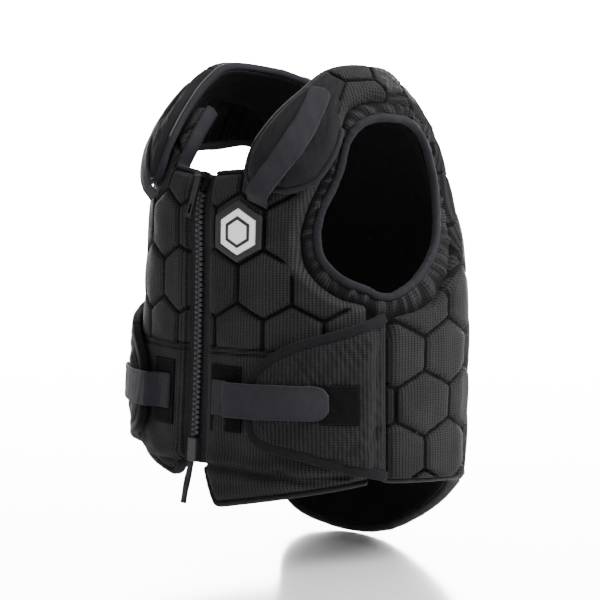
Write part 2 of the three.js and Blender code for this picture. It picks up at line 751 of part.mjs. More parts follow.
function wingBinding(side) {
  const lift = (row) => wingLift(row[3]) + WING_FOAM / 2;
  const at = (r, t) => {
    const row = rowAt(WING_ROWS, r);
    return [side * row[0], between(row[1], row[2], t), lift(row)];
  };
  const last = WING_ROWS.length - 1;
  const places = [
    ...span(0, last, last).map((r) => at(r, 0)),
    at(last, 0.5),
    ...span(last, 0, last).map((r) => at(r, 1)),
  ];
  return bead(places, { across: BINDING, thick: WING_FOAM - CROWN, shift: side * BESIDE });
}

function padBinding(side) {
  const last = PAD_ROWS.length - 1;
  const armEnd = 4;
  const at = (r, t) => {
    const u = r / last;
    return [...padPlace(side, u, t), between(padInnerLift(u), padOuterLift(u), 0.5) - CROWN];
  };
  const places = [
    at(last - RIM_ROW, 0),
    ...span(last - 1, 1, last - 2).map((r) => at(r, 0)),
    ...[RIM_ROW, 0].map((r) => at(r, 0)),
    at(0, 0.5),
    ...[0, RIM_ROW, ...span(1, armEnd, armEnd - 1)].map((r) => at(r, 1)),
  ];
  const shift = side * (PIPING / 2 + SEAM_GAP);
  return bead(places, { across: PIPING, thick: PAD_FOAM / 2, shift });
}

// The panels' edge bindings: as thick as this share of the foam.
const EDGE_SHARE = 0.7;
const HEM_SHARE = 0.6;
const besidePiping = PIPING / 2 + SEAM_GAP;

function frontNeckBinding(side) {
  const neckRow = 13;
  const places = [0.03, 0.5, 1, 2, 3].map((r) => frontPlace(side, neckRow + r, 0));
  return bead(withLift(places, FOAM / 2), {
    across: PIPING, thick: FOAM * EDGE_SHARE, shift: -side * besidePiping,
  });
}

function frontHemBinding(side) {
  const rows = [2, 1.85, 1, 0.8, RIM_ROW, 0].map((r) => frontPlace(side, r, 0));
  const below = rows.filter(([, down]) => down > ZIP.foot + HEM_CLEAR / LENGTH);
  const along = even(7).slice(1).map((t) => frontPlace(side, 0, t));
  return bead(withLift([...below, ...along], FOAM / 2), {
    across: PIPING, thick: FOAM * HEM_SHARE, shift: side * besidePiping,
  });
}

function backNeckBinding() {
  const places = even(6).map((t) => backPlace(1, between(0.02, 0.98, t)));
  return bead(withLift(places, FOAM / 2), {
    across: PIPING, thick: FOAM * EDGE_SHARE, shift: -besidePiping,
  });
}

function backHemBinding() {
  const last = BACK_ROWS.length - 1;
  const places = [
    ...span(SIDE_ROW, 0, SIDE_ROW).map((r) => backPlace(r / last, 0)),
    ...[0.25, 0.5, 0.75].map((t) => backPlace(0, t)),
    ...span(0, SIDE_ROW, SIDE_ROW).map((r) => backPlace(r / last, 1)),
  ];
  return bead(places.map(([round, down]) => [round, down, backThickness(down) / 2]), {
    across: PIPING, thick: FOAM_TAIL * EDGE_SHARE, shift: besidePiping,
  });
}

const tapeLow = FOAM / 2;
const chainLow = tapeLow + TAPE_THICK + SEAM_GAP;

function zipTape(side) {
  return shell({
    at: (u, t) => [side * between(ZIP.tapeInner, ZIP.tapeEdge, t), between(ZIP.top, ZIP.foot, u)],
    us: even(9),
    ts: even(1),
    inner: () => tapeLow,
    outer: () => tapeLow + TAPE_THICK,
    drop: 0,
  });
}

// The closed chain of teeth: a bar that widens at every tooth and narrows between two.
function zipChain() {
  const top = ZIP.top + (SLIDER_LENGTH + 2 * SEAM_GAP) / LENGTH;
  const foot = ZIP.box - SEAM_GAP / LENGTH;
  const halves = 2 * Math.round((foot - top) * LENGTH / TOOTH_PITCH);
  const points = [];
  const faces = [];
  for (let i = 0; i <= halves; i += 1) {
    const down = between(top, foot, i / halves);
    const { across, out } = frameAt(0, down);
    const spot = place(0, down, chainLow);
    const half = (i % 2 ? TOOTH_WIDTH : TOOTH_GAP_WIDTH) / 2;
    const high = CHAIN_THICK - (i % 2 ? 0 : TOOTH_RELIEF);
    for (const [x, w] of [[-half, 0], [-half, high], [half, high], [half, 0]]) {
      points.push(spot.clone().addScaledVector(across, x).addScaledVector(out, w));
    }
  }
  for (let i = 0; i < halves; i += 1) {
    for (let k = 0; k < 4; k += 1) {
      const a = i * 4 + k;
      const b = i * 4 + (k + 1) % 4;
      faces.push([a, b, b + 4], [a, b + 4, a + 4]);
    }
  }
  const far = halves * 4;
  faces.push([0, 2, 1], [0, 3, 2], [far, far + 1, far + 2], [far, far + 2, far + 3]);
  return closedGeometry(points, faces);
}

// Rigid trim stands in its own frame: x across, y up the front, z out of the fabric.
function seated(mesh, round, down, lift) {
  const { across, up, out } = frameAt(round, down);
  mesh.quaternion.setFromRotationMatrix(new THREE.Matrix4().makeBasis(across, up, out));
  mesh.position.copy(place(round, down, lift));
  return mesh;
}

// A plate's outline with every corner rounded by this bend.
function outlineOf(points, bend) {
  const shape = new THREE.Shape();
  const toward = ([x, y], [a, b]) => {
    const f = bend / Math.hypot(a - x, b - y);
    return [between(x, a, f), between(y, b, f)];
  };
  shape.moveTo(...toward(points[0], points[1]));
  points.forEach((point, i) => {
    const next = points[(i + 1) % points.length];
    const after = points[(i + 2) % points.length];
    shape.lineTo(...toward(next, point));
    shape.quadraticCurveTo(...next, ...toward(next, after));
  });
  return shape;
}

function block(width, height, depth, x, y, z) {
  return solidOf(new THREE.BoxGeometry(width, height, depth).translate(x, y, z));
}

const sliderThick = CHAIN_THICK + SLIDER_THICK;
const pinHeight = sliderThick / 2 + PULL_THICK + PIN_RADIUS;
const pinUp = SLIDER_LENGTH / 2 - PIN_RADIUS - LUG;
const barrel = PIN_RADIUS + PIN_CLEARANCE + BARREL_WALL;

// Half of the slider body's outline: shares of its half width and half length, foot to top.
const SLIDER_OUTLINE = [[0.78, -1], [1, 0.5], [0.55, 1]];

function crossBar(radius, length) {
  return new THREE.CylinderGeometry(radius, radius, length, ROUND_SIDES).rotateZ(Math.PI / 2);
}

function zipSlider() {
  const right = SLIDER_OUTLINE.map(([x, y]) => new THREE.Vector2(x * SLIDER_WIDTH / 2, y * SLIDER_LENGTH / 2));
  const left = right.map(({ x, y }) => new THREE.Vector2(-x, y)).reverse();
  const shape = new THREE.Shape([...right, ...left]);
  const body = new THREE.ExtrudeGeometry(shape, { depth: sliderThick, bevelEnabled: false });
  let solid = solidOf(body.translate(0, 0, -sliderThick / 2));
  const reach = PULL_WIDTH / 2 + PIN_CLEARANCE;
  const rise = pinHeight + PIN_RADIUS;
  for (const x of [-1, 1]) {
    solid = solid.add(block(LUG, 2 * LUG, rise, x * (reach + LUG / 2), pinUp, rise / 2));
  }
  const pin = crossBar(PIN_RADIUS, 2 * reach + LUG).translate(0, pinUp, pinHeight);
  return geometryOf(solid.add(solidOf(pin)));
}

// The pull hangs from its barrel, drawn with the pin's axis as its origin. Its slot is given in shares
// of its width and length.
const PULL_SLOT = { width: 0.4, length: 0.22, down: 0.8 };
function zipPull() {
  const half = PULL_WIDTH / 2;
  const outline = [[-half, 0], [-half, -PULL_LENGTH], [half, -PULL_LENGTH], [half, 0]];
  const plate = new THREE.ExtrudeGeometry(outlineOf(outline, PULL_WIDTH / 5), {
    depth: PULL_THICK, bevelEnabled: false, curveSegments: 3,
  });
  let solid = solidOf(plate.translate(0, 0, -PULL_THICK / 2));
  solid = solid.add(solidOf(crossBar(barrel, PULL_WIDTH)));
  solid = solid.subtract(solidOf(crossBar(PIN_RADIUS + PIN_CLEARANCE, 2 * PULL_WIDTH)));
  const { width, length, down } = PULL_SLOT;
  const slot = block(PULL_WIDTH * width, PULL_LENGTH * length, PULL_THICK * 2, 0, -PULL_LENGTH * down, 0);
  return geometryOf(solid.subtract(slot));
}

function hexagon(across) {
  const shape = new THREE.Shape();
  const radius = across / Math.sqrt(3);
  for (let k = 0; k < 6; k += 1) {
    const angle = Math.PI / 6 + k * Math.PI / 3;
    const corner = [radius * Math.cos(angle), radius * Math.sin(angle)];
    if (k === 0) shape.moveTo(...corner);
    else shape.lineTo(...corner);
  }
  shape.closePath();
  return shape;
}

function badgeRim() {
  const shape = hexagon(BADGE_ACROSS);
  shape.holes.push(hexagon(BADGE_ACROSS - 2 * BADGE_RIM));
  return new THREE.ExtrudeGeometry(shape, { depth: BADGE_THICK, bevelEnabled: false });
}

function badgePlate() {
  const shape = hexagon(BADGE_ACROSS - 2 * BADGE_RIM - 2 * SEAM_GAP);
  return new THREE.ExtrudeGeometry(shape, { depth: BADGE_PLATE, bevelEnabled: false });
}

// The tab hangs slanting from the foot of the zip. Its places are shares round the form.
const TAB_ROUND = [-0.020, -0.040];
function hemTab() {
  const half = TAB_WIDTH / 2 / HALF_GIRTH;
  const top = ZIP.foot + SEAM_GAP / LENGTH;
  const foot = top + TAB_LENGTH / LENGTH;
  return shell({
    at: (u, t) => [between(...TAB_ROUND, u) + between(-half, half, t), between(top, foot, u)],
    us: even(4),
    ts: even(1),
    inner: () => tapeLow,
    outer: () => tapeLow + WEBBING,
    drop: 0,
  });
}

const strapLow = FOAM + CROWN + STRAP_GAP;
const padTop = overFoam + PAD_FOAM * STRAPPED_PAD + STRAP_GAP;
const patchLow = FOAM + SEAM_GAP;
const waistLow = patchLow + PATCH + SEAM_GAP;
const waistHigh = wingOuter + PATCH + 2 * SEAM_GAP;

add('back_panel', backPanel(), FABRIC);
for (const [word, side] of SIDES) {
  add(`front_panel_${word}`, frontPanel(side), FABRIC);
  add(`side_wing_${word}`, sideWing(side), FABRIC);
  add(`wing_binding_${word}`, wingBinding(side), BINDING_COLOUR, 0.7);
  add(`shoulder_pad_${word}`, shoulderPad(side), FABRIC);
  add(`pad_binding_${word}`, padBinding(side), BINDING_COLOUR, 0.7);
  add(`shoulder_strap_${word}`, strapOf(SHOULDER_STRAP_ROWS, side, [strapLow, padTop], false), WEBBING_COLOUR);
  add(`front_patch_${word}`, patchOf(FRONT_PATCH, side, patchLow), PATCH_COLOUR);
  add(`wing_patch_${word}`, patchOf(WING_PATCH, side, wingOuter + SEAM_GAP), PATCH_COLOUR);
  add(`waist_strap_${word}`, strapOf(WAIST_STRAP_ROWS, side, [waistLow, waistHigh], true), WEBBING_COLOUR);
  add(`armhole_gather_${word}`, gatherBand(side), FABRIC);
  add(`armhole_binding_${word}`, bead(armholePlaces(side, GATHER_SHARES.at(-1)), {
    across: ARMHOLE_BINDING, thick: ARMHOLE_BINDING, shift: side * BESIDE, closed: true,
  }), BINDING_COLOUR, 0.7);
  add(`front_neck_binding_${word}`, frontNeckBinding(side), BINDING_COLOUR, 0.7);
  add(`front_hem_binding_${word}`, frontHemBinding(side), BINDING_COLOUR, 0.7);
  add(`zip_tape_${word}`, zipTape(side), PLASTIC);
}
add('back_neck_binding', backNeckBinding(), BINDING_COLOUR, 0.7);
add('back_hem_binding', backHemBinding(), BINDING_COLOUR, 0.7);
add('zip_chain', zipChain(), PLASTIC, 0.4);

const sliderDown = ZIP.top + SLIDER_LENGTH / 2 / LENGTH;
const sliderLift = chainLow + sliderThick / 2;
seated(add('zip_slider', zipSlider(), PLASTIC, 0.35, 0.6), 0, sliderDown, sliderLift);
const pull = seated(add('zip_pull', zipPull(), PLASTIC, 0.35, 0.6), 0, sliderDown, sliderLift);
pull.translateY(pinUp).translateZ(pinHeight);

const boxHeight = (ZIP.foot - ZIP.box) * LENGTH - 2 * SEAM_GAP;
const box = new THREE.BoxGeometry(BOX_WIDTH, boxHeight, sliderThick);
seated(add('zip_box', box, PLASTIC, 0.4), 0, between(ZIP.foot, ZIP.box, 0.5), sliderLift);

const badgeLift = FOAM + CROWN + BADGE_GAP;
seated(add('badge_rim', badgeRim(), PATCH_COLOUR), BADGE.round, BADGE.down, badgeLift);
seated(add('badge_plate', badgePlate(), BADGE_WHITE, 0.6), BADGE.round, BADGE.down, badgeLift);
add('hem_tab', hemTab(), WEBBING_COLOUR);

export default group;
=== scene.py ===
"""A child's riding body protector: foam panels in mesh fabric, lapped wings, webbing straps and a zip."""
import json
import math

import bmesh
import bpy
import numpy as np
from mathutils import Matrix, Vector
from mathutils.kdtree import KDTree

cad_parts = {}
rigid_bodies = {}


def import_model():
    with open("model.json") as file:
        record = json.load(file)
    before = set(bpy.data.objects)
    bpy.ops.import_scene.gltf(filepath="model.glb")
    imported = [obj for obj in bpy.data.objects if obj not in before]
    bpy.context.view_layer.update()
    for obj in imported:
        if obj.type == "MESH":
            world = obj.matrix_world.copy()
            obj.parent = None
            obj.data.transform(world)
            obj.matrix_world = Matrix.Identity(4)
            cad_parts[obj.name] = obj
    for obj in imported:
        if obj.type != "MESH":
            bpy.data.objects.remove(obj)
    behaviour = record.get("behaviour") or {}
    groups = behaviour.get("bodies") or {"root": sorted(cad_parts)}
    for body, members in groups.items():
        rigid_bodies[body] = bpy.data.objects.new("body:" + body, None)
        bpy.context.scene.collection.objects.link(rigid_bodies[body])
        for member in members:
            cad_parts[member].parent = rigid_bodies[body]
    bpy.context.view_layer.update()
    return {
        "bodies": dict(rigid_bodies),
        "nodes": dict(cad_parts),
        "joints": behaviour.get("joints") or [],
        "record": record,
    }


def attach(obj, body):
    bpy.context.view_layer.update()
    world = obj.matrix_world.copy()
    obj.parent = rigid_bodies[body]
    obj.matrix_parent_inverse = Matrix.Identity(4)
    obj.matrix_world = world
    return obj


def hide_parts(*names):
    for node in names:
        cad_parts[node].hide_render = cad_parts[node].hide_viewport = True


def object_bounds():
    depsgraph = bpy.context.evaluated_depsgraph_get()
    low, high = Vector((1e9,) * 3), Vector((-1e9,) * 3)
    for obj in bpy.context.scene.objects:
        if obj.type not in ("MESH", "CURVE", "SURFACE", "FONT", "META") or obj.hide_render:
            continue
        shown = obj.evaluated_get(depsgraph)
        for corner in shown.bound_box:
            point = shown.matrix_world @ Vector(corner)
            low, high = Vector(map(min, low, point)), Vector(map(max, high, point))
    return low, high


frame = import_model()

# The photograph's viewpoint: in front of the vest and to the wearer's left, three metres off, a little
# above chest height, through a long lens.
AZIMUTH = math.radians(50)
ELEVATION = math.radians(5)
DISTANCE = 3.0
PIXELS_PER_METRE = 1110
IMAGE_WIDTH = 600
CHEST = Vector((0, 0, -0.190))
CHEST_PIXEL = (307, 295)
away = Vector((math.sin(AZIMUTH) * math.cos(ELEVATION), -math.cos(AZIMUTH) * math.cos(ELEVATION),
               math.sin(ELEVATION)))
rightward = Vector((math.cos(AZIMUTH), math.sin(AZIMUTH), 0))
aim = CHEST - rightward * (CHEST_PIXEL[0] - IMAGE_WIDTH / 2) / PIXELS_PER_METRE
aim += away.cross(rightward) * (CHEST_PIXEL[1] - IMAGE_WIDTH / 2) / PIXELS_PER_METRE
lens = bpy.data.cameras.new("camera")
lens.lens = lens.sensor_width * PIXELS_PER_METRE * DISTANCE / IMAGE_WIDTH
camera = bpy.data.objects.new("camera", lens)
camera.location = aim + away * DISTANCE
camera.rotation_euler = away.to_track_quat("Z", "Y").to_euler()
bpy.context.scene.collection.objects.link(camera)
bpy.context.scene.camera = camera

# The worn form: the child's trunk that the foam is shaped round. A place on it is its share of the way
# round from the front centre (1 is the back centre), its share of LENGTH down the pattern, and a height
# outwards. Lengths are metres.
LENGTH = 0.440
HALF_WIDTH = 0.140
FRONT_DEPTH = 0.110
BACK_DEPTH = 0.104
CORNER_POWER = 2.3
LEVELS = np.array([
    # down, depth below the seat, half width, front depth, back depth, each a share
    [-0.136, 0.000, 0.414, 0.273, 0.327],
    [-0.068, 0.030, 0.586, 0.418, 0.462],
    [0.000, 0.068, 0.721, 0.582, 0.587],
    [0.073, 0.114, 0.814, 0.755, 0.702],
    [0.148, 0.168, 0.871, 0.900, 0.769],
    [0.239, 0.239, 0.914, 0.991, 0.856],
    [0.341, 0.341, 0.971, 1.000, 0.962],
    [0.455, 0.455, 1.000, 1.009, 1.000],
    [0.591, 0.591, 1.000, 1.027, 0.990],
    [0.727, 0.727, 1.000, 1.055, 0.971],
    [0.845, 0.845, 1.000, 1.082, 0.875],
    [0.932, 0.930, 0.986, 1.100, 0.670],
    [1.000, 0.995, 0.957, 1.109, 0.490],
])


def section_radius(angle, half_width, front, back):
    depth = np.where(np.cos(angle) >= 0, front, back)
    total = np.abs(np.sin(angle) / half_width) ** CORNER_POWER + np.abs(np.cos(angle) / depth) ** CORNER_POWER
    return total ** (-1 / CORNER_POWER)


def cubic(at, keys, values, slopes):
    at = np.clip(at, keys[0], keys[-1])
    i = np.clip(np.searchsorted(keys, at, side="right") - 1, 0, len(keys) - 2)
    step = keys[i + 1] - keys[i]
    t = (at - keys[i]) / step
    curve = (2 * t ** 3 - 3 * t ** 2 + 1) * values[i] + (3 * t ** 2 - 2 * t ** 3) * values[i + 1]
    return curve + (t ** 3 - 2 * t ** 2 + t) * step * slopes[i] + (t ** 3 - t ** 2) * step * slopes[i + 1]


def level(down, column):
    keys, values = LEVELS[:, 0], LEVELS[:, column]
    slopes = np.empty(len(keys))
    slopes[1:-1] = (values[2:] - values[:-2]) / (keys[2:] - keys[:-2])
    slopes[0] = (values[1] - values[0]) / (keys[1] - keys[0])
    slopes[-1] = (values[-1] - values[-2]) / (keys[-1] - keys[-2])
    return cubic(down, keys, values, slopes)


ANGLES = np.linspace(0, np.pi, 1441)
chest_radius = section_radius(ANGLES, HALF_WIDTH, FRONT_DEPTH, BACK_DEPTH)
chest_line = np.stack([chest_radius * np.sin(ANGLES), chest_radius * np.cos(ANGLES)], 1)
ARC = np.concatenate([[0], np.cumsum(np.linalg.norm(np.diff(chest_line, axis=0), axis=1))])
HALF_GIRTH = ARC[-1]
FLAT = np.array([HALF_GIRTH, LENGTH])


def skin(round_, down):
    wrapped = round_ - 2 * np.round(round_ / 2)
    angle = np.sign(wrapped) * np.interp(np.abs(wrapped) * HALF_GIRTH, ARC, ANGLES)
    sizes = (HALF_WIDTH, FRONT_DEPTH, BACK_DEPTH)
    r = section_radius(angle, *(size * level(down, column) for column, size in enumerate(sizes, 2)))
    return np.stack([r * np.sin(angle), -r * np.cos(angle), -LENGTH * level(down, 1)], -1)


def unit(vectors):
    return vectors / np.linalg.norm(vectors, axis=-1, keepdims=True)


def outward(round_, down):
    step = 0.002
    across = skin(round_ + step, down) - skin(round_ - step, down)
    up = skin(round_, down - step) - skin(round_, down + step)
    return unit(np.cross(across, up))


def place(round_, down, lift):
    round_, down, lift = np.broadcast_arrays(*(np.asarray(v, float) for v in (round_, down, lift)))
    return skin(round_, down) + outward(round_, down) * lift[..., None]


def between(a, b, t):
    return a + (b - a) * t


def eased(x, low, high):
    t = np.clip((x - low) / (high - low), 0, 1)
    return t * t * (3 - 2 * t)


# Back panel: one wide slab of soft foam, heat pressed into hexagon blocks with its cover of black air mesh
# over it and a smooth black lining inside. It wraps round to the side seams, and its tail hangs below.
FOAM = 0.018
FOAM_TAIL = 0.013
RIM = 0.008
GROOVE = 0.0032
GROOVE_DEPTH = 0.0042
CROWN = 0.0012
CELL = 0.0024
TAIL_START = 0.76
TAIL_THIN = 0.90
TAIL_DRIFT = 0.09
SWELL_REACH = 0.012
SNAP_REACH = 0.55
BACK_UNEVEN = 0.0007
ARMHOLE = np.array([
    # panel edge round and down, opening round and down, height of the gathered band as a share of FOAM
    [0.385, 0.432, 0.390, 0.391, 0.40],
    [0.335, 0.414, 0.350, 0.375, 0.40],
    [0.290, 0.384, 0.315, 0.348, 0.38],
    [0.258, 0.341, 0.297, 0.318, 0.36],
    [0.252, 0.295, 0.292, 0.284, 0.36],
    [0.265, 0.245, 0.303, 0.236, 0.36],
    [0.292, 0.186, 0.325, 0.195, 0.38],
    [0.318, 0.132, 0.345, 0.141, 0.50],
    [0.335, 0.080, 0.362, 0.093, 0.78],
    [0.385, 0.018, 0.415, 0.050, 1.15],
    [0.450, -0.005, 0.460, 0.039, 1.15],
    [0.530, -0.005, 0.520, 0.039, 0.95],
    [0.605, 0.030, 0.580, 0.070, 0.70],
    [0.648, 0.095, 0.612, 0.128, 0.50],
    [0.662, 0.170, 0.620, 0.193, 0.42],
    [0.665, 0.245, 0.597, 0.252, 0.40],
    [0.655, 0.318, 0.562, 0.298, 0.40],
    [0.600, 0.386, 0.522, 0.341, 0.40],
    [0.517, 0.439, 0.482, 0.377, 0.40],
    [0.440, 0.455, 0.438, 0.400, 0.40],
    [0.410, 0.449, 0.412, 0.400, 0.40],
])
BACK_ROWS = np.array([
    # edge's distance from the back centre, its place down, the place down at the centre
    [0.086, 0.925, 0.928],
    [0.162, 0.914, 0.911],
    [0.217, 0.892, 0.886],
    [0.257, 0.857, 0.850],
    [0.288, 0.820, 0.818],
    [0.330, 0.787, 0.780],
    [0.430, 0.777, 0.745],
    [0.520, 0.772, 0.720],
    [0.583, 0.766, 0.695],
    [0.583, 0.682, 0.640],
    [0.583, 0.591, 0.580],
    [0.583, 0.510, 0.515],
    [1 - ARMHOLE[19][0], ARMHOLE[19][1], 0.462],
    [1 - ARMHOLE[18][0], ARMHOLE[18][1], 0.420],
    [1 - ARMHOLE[17][0], ARMHOLE[17][1], 0.370],
    [1 - ARMHOLE[16][0], ARMHOLE[16][1], 0.312],
    [1 - ARMHOLE[15][0], ARMHOLE[15][1], 0.245],
    [1 - ARMHOLE[14][0], ARMHOLE[14][1], 0.175],
    [1 - ARMHOLE[13][0], ARMHOLE[13][1], 0.105],
    [0.284, 0.009, 0.030],
    [0.215, -0.077, -0.040],
])
BACK_HEXES = {"half": 0.070, "row": 0.0989, "round": 1.0, "down": 0.524, "upright": 0.665}


def smooth_row(table, r):
    """A table's row at a fractional row number, on curves that never swing past the rows beside it."""
    keys = np.arange(len(table), dtype=float)
    columns = []
    for values in np.asarray(table, float).T:
        secants = np.diff(values)
        slopes = np.zeros(len(values))
        same = secants[1:] * secants[:-1] > 0
        slopes[1:-1][same] = 2 * secants[1:][same] * secants[:-1][same] / (secants[1:] + secants[:-1])[same]
        slopes[0], slopes[-1] = secants[0], secants[-1]
        columns.append(cubic(np.asarray(r, float), keys, values, slopes))
    return columns


def row_numbers(*edges):
    """Turns even shares of a panel's length into row numbers, by how far its edges run between rows."""
    spacing = sum(np.linalg.norm(np.diff(edge * FLAT, axis=0), axis=1) for edge in edges)
    reached = np.concatenate([[0], np.cumsum(spacing)]) / spacing.sum()
    return lambda share: np.interp(share, reached, np.arange(len(reached)))


def slab(name, along, across):
    """A closed flat slab, one unit each way: x along, y across, z 0 on the body's side and 1 outside."""
    bm = bmesh.new()
    bmesh.ops.create_grid(bm, x_segments=along, y_segments=across, size=0.5)
    bmesh.ops.translate(bm, verts=bm.verts, vec=(0.5, 0.5, 0))
    made = bmesh.ops.extrude_face_region(bm, geom=bm.faces[:], use_keep_orig=True)
    top = [v for v in made["geom"] if isinstance(v, bmesh.types.BMVert)]
    bmesh.ops.translate(bm, verts=top, vec=(0, 0, 1))
    bmesh.ops.recalc_face_normals(bm, faces=bm.faces)
    for face in bm.faces:
        face.material_index = 1 if all(v.co.z < 0.5 for v in face.verts) else 0
    return bring(name, bm)


def bring(name, bm):
    mesh = bpy.data.meshes.new(name)
    bm.to_mesh(mesh)
    bm.free()
    mesh.shade_smooth()
    piece = bpy.data.objects.new(name, mesh)
    bpy.context.scene.collection.objects.link(piece)
    return piece


def points_of(piece):
    points = np.empty(len(piece.data.vertices) * 3)
    piece.data.vertices.foreach_get("co", points)
    return points.reshape(-1, 3)


def lay(piece, points, cloth, weld=False, **marks):
    """Moves the vertices to their places, and keeps where each lies on the flat cloth, in metres."""
    mesh = piece.data
    mesh.vertices.foreach_set("co", points.ravel())
    corners = np.empty(len(mesh.loops), int)
    mesh.loops.foreach_get("vertex_index", corners)
    mesh.uv_layers.new(name="cloth").data.foreach_set("uv", np.stack(cloth, 1)[corners].ravel())
    for name, values in marks.items():
        mesh.attributes.new(name, "FLOAT", "POINT").data.foreach_set("value", values)
    bm = bmesh.new()
    bm.from_mesh(mesh)
    if weld:
        bmesh.ops.remove_doubles(bm, verts=bm.verts, dist=1e-6)
        bmesh.ops.holes_fill(bm, edges=[e for e in bm.edges if e.is_boundary], sides=0)
    if bm.calc_volume(signed=True) < 0:
        bmesh.ops.reverse_faces(bm, faces=bm.faces)
    bm.to_mesh(mesh)
    bm.free()
    mesh.update()


def rimmed(x, segments, share, steps=4):
    """Shares with the first and last few lines drawn close, as a rounded rim of that share needs."""
    edge = steps / segments
    low = share * (1 - np.cos(np.pi / 2 * np.clip(x / edge, 0, 1)))
    high = 1 - share * (1 - np.cos(np.pi / 2 * np.clip((1 - x) / edge, 0, 1)))
    middle = between(share, 1 - share, (x - edge) / (1 - 2 * edge))
    return np.where(x < edge, low, np.where(x > 1 - edge, high, middle))


def rounded(distance, radius):
    return np.sqrt(1 - (1 - np.clip(distance / radius, 0, 1)) ** 2)


def hexagon_edges(round_, down, hexes):
    """Distance in metres to the nearest hexagon's edge, and the way to that edge, on the flat pattern."""
    half, row, upright = hexes["half"], hexes["row"], hexes["upright"]
    width = half * HALF_GIRTH
    side = row * upright / 2 * LENGTH
    rise = row * (1 - upright) * LENGTH
    slant = math.hypot(1, rise / width)
    best = np.full(round_.shape, -1.0)
    way = np.zeros(round_.shape + (2,))
    column = np.floor((round_ - hexes["round"]) / half)
    line = np.floor((down - hexes["down"]) / row)
    for c in (0, 1):
        for r in (0, 1):
            x = (round_ - hexes["round"] - (column + c) * half) * HALF_GIRTH
            y = (down - hexes["down"] - (line + r) * row) * LENGTH
            beside = width - np.abs(x)
            above = (side + rise - np.abs(y) - np.abs(x) * rise / width) / slant
            own = np.where((column + c + line + r) % 2 == 0, np.minimum(beside, above), -1)
            closer = own > best
            best = np.where(closer, own, best)
            flat = np.stack([np.sign(x), 0 * x], -1)
            leaning = np.stack([np.sign(x) * rise / width, np.sign(y)], -1) / slant
            way = np.where(closer[..., None], np.where((beside < above)[..., None], flat, leaning), way)
    return np.maximum(best, 0), way


def pressed(round_, down, hexes, cell=CELL):
    """Draws the grid lines beside a groove onto it. Gives the new places and each one's distance to it."""
    distance, way = hexagon_edges(round_, down, hexes)
    pull = np.where(distance < cell * SNAP_REACH, distance, 0)
    round_ = round_ + way[..., 0] * pull / HALF_GIRTH
    down = down + way[..., 1] * pull / LENGTH
    return round_, down, np.where(pull > 0, 0, distance)


def relief(distance, depth=GROOVE_DEPTH):
    groove = 1 - eased(distance, 0, GROOVE)
    return CROWN * (1 - np.exp(-distance / SWELL_REACH)) - depth * groove


def ripple(points, size, seed):
    """A soft, seeded unevenness of about plus or minus one, for cloth and foam that aren't quite even."""
    spread = np.random.default_rng(seed)
    total = np.zeros(len(points))
    for _ in range(6):
        total += np.sin(points @ (spread.normal(size=3) * 2 * np.pi / size) + spread.uniform(0, 2 * np.pi))
    return total / 3


class Value:
    """A socket of a finish that takes part in sums."""

    def __init__(self, finish, socket):
        self.finish = finish
        self.socket = socket

    def math(self, operation, *others):
        inputs = dict(enumerate((self, *others)))
        return self.finish.node("Math", {"operation": operation}, inputs)

    def __add__(self, other):
        return self.math("ADD", other)

    __radd__ = __add__

    def __rsub__(self, other):
        return self.math("MULTIPLY_ADD", -1, other)

    def __mul__(self, other):
        return self.math("MULTIPLY", other)

    __rmul__ = __mul__

    def step(self, low, high):
        return self.finish.node("MapRange", {"interpolation_type": "SMOOTHSTEP"}, {0: self, 1: low, 2: high})


CONSTANT_SOCKETS = {"sheen": "Sheen Weight", "specular": "Specular IOR Level", "metallic": "Metallic"}


class Finish:
    """A material that is put together from nodes and Python sums."""

    def __init__(self, name, roughness=0.9, **constants):
        self.material = bpy.data.materials.new(name)
        self.material.use_nodes = True
        self.tree = self.material.node_tree
        self.shader = self.tree.nodes["Principled BSDF"]
        self.shader.inputs["Roughness"].default_value = roughness
        for socket, value in constants.items():
            self.shader.inputs[CONSTANT_SOCKETS[socket]].default_value = value

    def node(self, kind, settings=None, inputs=None, output=0):
        made = self.tree.nodes.new("ShaderNode" + kind)
        for setting, value in (settings or {}).items():
            setattr(made, setting, value)
        for socket, value in (inputs or {}).items():
            self.feed(made.inputs[socket], value)
        return Value(self, made.outputs[output])

    def feed(self, socket, value):
        if isinstance(value, Value):
            self.tree.links.new(value.socket, socket)
        else:
            socket.default_value = value

    def mix(self, share, first, second):
        return self.node("Mix", {"data_type": "RGBA"}, {0: share, 6: first, 7: second}, output=2)

    def noise(self, size, detail=3):
        where = self.node("TexCoord", output=3)
        return self.node("TexNoise", {}, {"Vector": where, "Scale": 1 / size, "Detail": detail})

    def cloth(self):
        where = self.node("UVMap", {"uv_map": "cloth"})
        return [self.node("SeparateXYZ", {}, {0: where}, output=k) for k in (0, 1)]

    def wave(self, x, pitch):
        return 0.5 + 0.5 * (x * (2 * math.pi / pitch)).math("SINE")

    def mark(self, name):
        return self.node("Attribute", {"attribute_name": name}, output=2)

    def colour(self, value):
        self.feed(self.shader.inputs["Base Color"], value)

    def roughness(self, value):
        self.feed(self.shader.inputs["Roughness"], value)

    def bump(self, height, depth):
        made = self.node("Bump", {}, {"Height": height, "Strength": 1.0, "Distance": depth})
        self.feed(self.shader.inputs["Normal"], made)


def grey(light, blue=None):
    """A neutral colour of that brightness, a little bluer where a second number is given."""
    return light, light, light if blue is None else blue, 1


MESH_ACROSS = 0.0028
MESH_DOWN = 0.0021
MESH_THREAD = grey(0.024, 0.025)
MESH_WORN = grey(0.015, 0.016)
# Painted shade inside the mesh holes.
MESH_HOLE_SHADE = grey(0.0012, 0.0014)
# Painted shade along grooves, seams and fold valleys.
GROOVE_PAINTED_SHADE = grey(0.0012, 0.0014)


